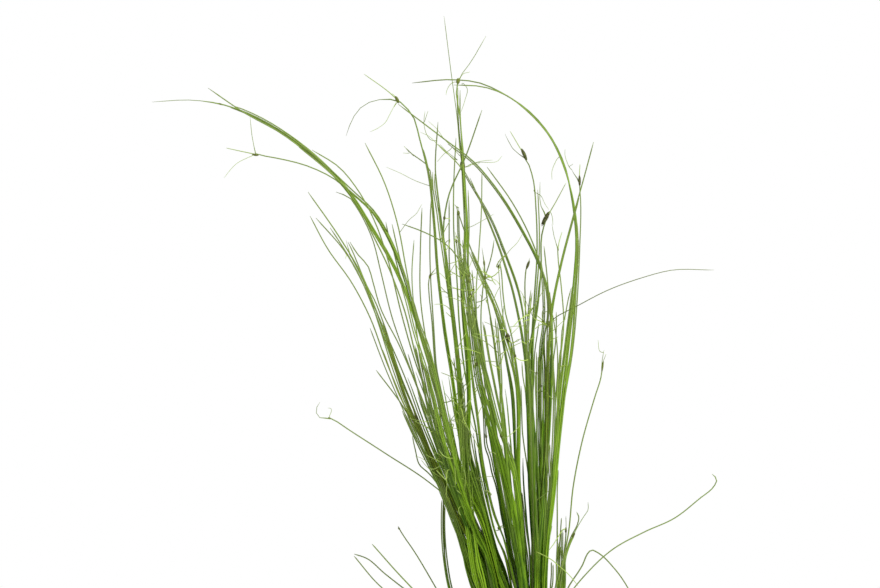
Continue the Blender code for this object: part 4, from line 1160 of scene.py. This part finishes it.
def dry_scales():
    """Spikelet scales: green while young and dark olive brown when ripe, with fine veins, paler towards
    each tip."""
    material, tree, shader = finish_of("dry_scales", Roughness=0.6, Specular_IOR_Level=0.25)
    growth = parts(tree, marked(tree, "growth"))
    veins = noise(tree, object_place(tree), 3.0, 1800.0)
    ripe = mixed(tree, growth["Y"], (0.16, 0.22, 0.02), (0.030, 0.033, 0.006))
    edged = mixed(tree, ranged(tree, growth["X"], 0.6, 1.0, 0.0, 0.5), ripe, (0.20, 0.18, 0.05))
    mottled = mixed(tree, worked(tree, "MULTIPLY", veins, 0.35), edged, (0.05, 0.06, 0.008))
    surfaced(tree, shader, mottled, veins, 0.5, 0.05 * MM)
    return material


pick = np.random.default_rng(41)
heads = []
for node in culm_nodes:
    if plant[node]["spikelet"] is not None:
        step = int(np.argmin(np.linalg.norm(smooth[node] - plant[node]["spikelet"], axis=1)))
        heads.append((node, step, *SPIKELETS[node]))
for node, step in bead_spots:
    heads.append((node, step, pick.uniform(1.7, 2.7), pick.uniform(0.9, 1.5), pick.uniform(0.3, 0.9), 0, 0))
scales = []
for node, step, long, wide, ripe, past, tilt in heads:
    step = min(max(step, 3), FINE_STEPS - 4)
    ahead = unit(smooth[node][step] - smooth[node][step - 3])
    cosine, sine = math.cos(math.radians(tilt)), math.sin(math.radians(tilt))
    ahead = np.array([cosine * ahead[0] + sine * ahead[2], ahead[1], cosine * ahead[2] - sine * ahead[0]])
    centre = smooth[node][step] + past * MM * ahead
    scales.append(spikelet(centre, ahead, long * MM, wide / 2 * MM, pick))
ripeness = np.repeat([head[4] for head in heads], SCALES)
ripeness = np.clip(ripeness + pick.normal(0, 0.1, len(ripeness)), 0, 1)
scale_lines, scale_radii, wide_ways = map(np.concatenate, zip(*scales))
tubes = tubes_along(scale_lines, scale_radii, SCALE_SIDES, flat=0.4, wide=wide_ways)
growth = stem_marks(scale_lines, SCALE_SIDES, ripeness)["growth"]
new_piece("spikelet_scales", *tubes, dry_scales(), "culm_olive", growth=growth)

# The sheaths
# Each culm's foot is wrapped by a thin dry sheath with a slanting mouth, red brown in the wool and
# straw-coloured at its mouth.
SHEATH_RINGS = 9
SHEATH_SIDES = 12
SHEATH_PROUD = 0.13 * MM
MOUTH_SLANT = 0.9 * MM
COVERED, YOUNG_COVERED = (16, 34), (9, 22)  # mm of a culm's foot

pick = np.random.default_rng(51)
footed = np.concatenate([*(plant[node]["stems"] for node in culm_nodes), *thin_lines])
low = footed[:, 0, 2] < PLUG_TOP + MM
covered = pick.uniform(*COVERED, len(footed))[low] * MM
young_covered = pick.uniform(*YOUNG_COVERED, len(young_lines)) * MM
sheath_lines = np.array([
    along(stem, np.linspace(0, end / run_of(stem)[-1], SHEATH_RINGS))
    for stem, end in zip((*footed[low], *young_lines), (*covered, *young_covered))
])
share = np.linspace(0, 1, SHEATH_RINGS)
sheath_radii = np.tile((TOGETHER_R + SHEATH_PROUD) * (1 - 0.06 * share), (len(sheath_lines), 1))
places, faces = tubes_along(sheath_lines, sheath_radii, SHEATH_SIDES)
corners = places.reshape(len(sheath_lines), SHEATH_RINGS, SHEATH_SIDES, 3)
mouth = MOUTH_SLANT * np.cos(around(SHEATH_SIDES))
top_way = unit(sheath_lines[:, -1] - sheath_lines[:, -2])
corners[:, -1] += mouth[None, :, None] * top_way[:, None]
marks = stem_marks(sheath_lines, SHEATH_SIDES, pick.uniform(0, 1, len(sheath_lines)))


def dry_sheath():
    """A thin dry sheath: red brown at the foot, straw and green at the mouth, veined lengthwise."""
    material, tree, shader = finish_of("dry_sheath", Roughness=0.55, Specular_IOR_Level=0.3)
    growth = parts(tree, marked(tree, "growth"))
    veins = noise(tree, stretched(tree, marked(tree, "upright"), 5200, 5200, 90), 3.0)
    rise = worked(tree, "MULTIPLY_ADD", veins, 0.7, growth["X"])
    straw = mixed(tree, ranged(tree, rise, 0.25, 0.85), (0.10, 0.030, 0.010), (0.27, 0.22, 0.08))
    colour = mixed(tree, ranged(tree, rise, 0.85, 1.3), straw, (0.22, 0.30, 0.05))
    surfaced(tree, shader, colour, veins, 0.5, 0.04 * MM)
    return material


new_piece("foot_sheaths", corners.reshape(-1, 3), faces, dry_sheath(), "culm_green", **marks)

# The rhizomes and roots
# Short brown rhizomes tie the culms' feet together, half sunk in the wool, and pale fine roots wander
# over it before they go in.
RHIZOMES = 46
ROOTS = 150
ROOT_RINGS = 14
ROOT_SIDES = 6
REACH_OUT = PLUG_R - 1.2 * MM
RHIZOME_R, ROOT_R = (0.45, 0.7), (0.09, 0.17)  # mm
RHIZOME_RISE, ROOT_RISE = 0.35 * MM, 0.45 * MM  # over the wool
ROOT_DIVE = 1.6 * MM  # of its tip, into the wool

pick = np.random.default_rng(61)
feet = footed[low][:, 0]
share = np.linspace(0, 1, ROOT_RINGS)
ends = []
for number in range(RHIZOMES):
    foot = feet[pick.integers(len(feet))]
    near = feet[np.argsort(np.linalg.norm(feet - foot, axis=1))[3:14]]
    ends.append((foot, near[pick.integers(len(near))]))
ends = np.array(ends)
rhizomes = ends[:, :1] + share[None, :, None] * (ends[:, 1:] - ends[:, :1])
arch = pick.uniform(-0.4, 1, (RHIZOMES, 1))
rhizomes[..., 2] = PLUG_TOP + RHIZOME_RISE + 0.5 * MM * np.sin(math.pi * share) * arch
rhizome_radii = pick.uniform(*RHIZOME_R, (RHIZOMES, 1)) * MM * (1 + 0.16 * np.sin(2 * math.pi * 5 * share))
heading = pick.uniform(0, 2 * math.pi, ROOTS)
length = pick.uniform(5, 16, ROOTS)[:, None] * MM
bend = pick.normal(0, 1.2, (ROOTS, 1))
phase = pick.uniform(0, 1, (ROOTS, 1))
way = heading[:, None] + bend * share + 0.3 * np.sin(2 * math.pi * (share * 2.2 + phase))
starts = feet[pick.integers(len(feet), size=ROOTS)]
uneven = lumps(np.stack([way, way * 0, way * 0], -1), 2, 5)
roots = np.stack([
    starts[:, :1] + np.cumsum(np.cos(way), axis=1) * length / ROOT_RINGS,
    starts[:, 1:2] + np.cumsum(np.sin(way), axis=1) * length / ROOT_RINGS,
    PLUG_TOP + ROOT_RISE + 0.25 * MM * uneven - ROOT_DIVE * share**6,
], axis=-1)
reach = np.linalg.norm(roots[..., :2], axis=-1, keepdims=True)
roots[..., :2] *= np.minimum(1, REACH_OUT / reach)
root_radii = pick.uniform(*ROOT_R, (ROOTS, 1)) * MM * (1 - 0.5 * share)


def root_skin(name, dark, light):
    """Root skin: mottled from dark to light, a little furry."""
    material, tree, shader = finish_of(name, Roughness=0.8, Specular_IOR_Level=0.25)
    mottle = noise(tree, object_place(tree), 4.0, 900.0)
    surfaced(tree, shader, mixed(tree, mottle, dark, light), mottle, 0.6, 0.08 * MM)
    return material


brown = root_skin("rhizome_skin", (0.06, 0.028, 0.012), (0.20, 0.12, 0.05))
new_piece("rhizomes", *tubes_along(rhizomes, rhizome_radii, ROOT_SIDES + 2), brown, "culm_olive")
buff = root_skin("root_skin", (0.26, 0.20, 0.11), (0.48, 0.42, 0.28))
new_piece("fine_roots", *tubes_along(roots, root_radii, ROOT_SIDES), buff, "culm_olive")

# The floor, the light and the camera
# A pale floor under a white sky, one large soft lamp high at the right and a weaker one at the left. The
# sky is plain white where the camera sees it and lights the plant with less than that.
FLOOR_R = 600 * MM
FLOOR_SIDES = 128
FLOOR_LEVEL = -0.02 * MM
SKY_LIGHT = 0.72

turn = around(FLOOR_SIDES)
rings = np.array([0.02, 0.1, 0.25, 0.5, 1.0])[:, None] * FLOOR_R
ground = np.stack([rings * np.cos(turn), rings * np.sin(turn), FLOOR_LEVEL + 0 * rings * turn], axis=-1)
quads = grid_faces(len(rings), FLOOR_SIDES).reshape(-1, 4)
floor_mesh = bpy.data.meshes.new("floor")
floor_mesh.from_pydata(ground.reshape(-1, 3), [], [*quads.tolist(), list(range(FLOOR_SIDES))])
paper, _, _ = finish_of("pale_floor", Base_Color=(0.86, 0.86, 0.86, 1), Roughness=0.7)
floor_mesh.materials.append(paper)
floor = placed("floor", floor_mesh)
floor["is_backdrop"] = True

world = bpy.data.worlds.new("white_sky")
bpy.context.scene.world = world
world.use_nodes = True
sky = world.node_tree.nodes["Background"].inputs
sky["Color"].default_value = (1, 1, 1, 1)
camera_ray = shader_node(world.node_tree, "ShaderNodeLightPath").outputs["Is Camera Ray"]
world.node_tree.links.new(ranged(world.node_tree, camera_ray, to_low=SKY_LIGHT), sky["Strength"])


def soft_lamp(name, place, aim, width, watts):
    """A square area lamp at a place, turned towards what it lights."""
    lamp = bpy.data.lights.new(name, "AREA")
    lamp.shape = "SQUARE"
    lamp.size = width
    lamp.energy = watts
    thing = placed(name, lamp)
    thing.location = place
    way = np.array(aim) - np.array(place)
    yaw = math.atan2(way[0], -way[1])
    pitch = math.atan2(math.hypot(way[0], way[1]), -way[2])
    thing.rotation_euler = (pitch, 0, yaw + math.pi)


soft_lamp("key", (0.8, -0.7, 1.2), aim=(0, 0, 0.2), width=0.5, watts=30)
soft_lamp("fill", (-0.9, -0.9, 0.5), aim=(0, 0, 0.2), width=0.8, watts=4)

VIEW_WIDTH = 440 * MM  # of what the picture shows at the pot's axis
camera = bpy.data.cameras.new("camera")
camera.sensor_width = 36
camera.lens = camera.sensor_width * -EYE[1] / VIEW_WIDTH
camera.clip_start, camera.clip_end = 0.05, 20
eye = placed("camera", camera)
eye.location = EYE
eye.rotation_euler = (math.pi / 2, 0, 0)
bpy.context.scene.camera = eye
bpy.context.scene.view_settings.view_transform = "Standard"

corners = {"cad": [list(corner) for corner in cad_box], "visual": [list(corner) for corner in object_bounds()]}
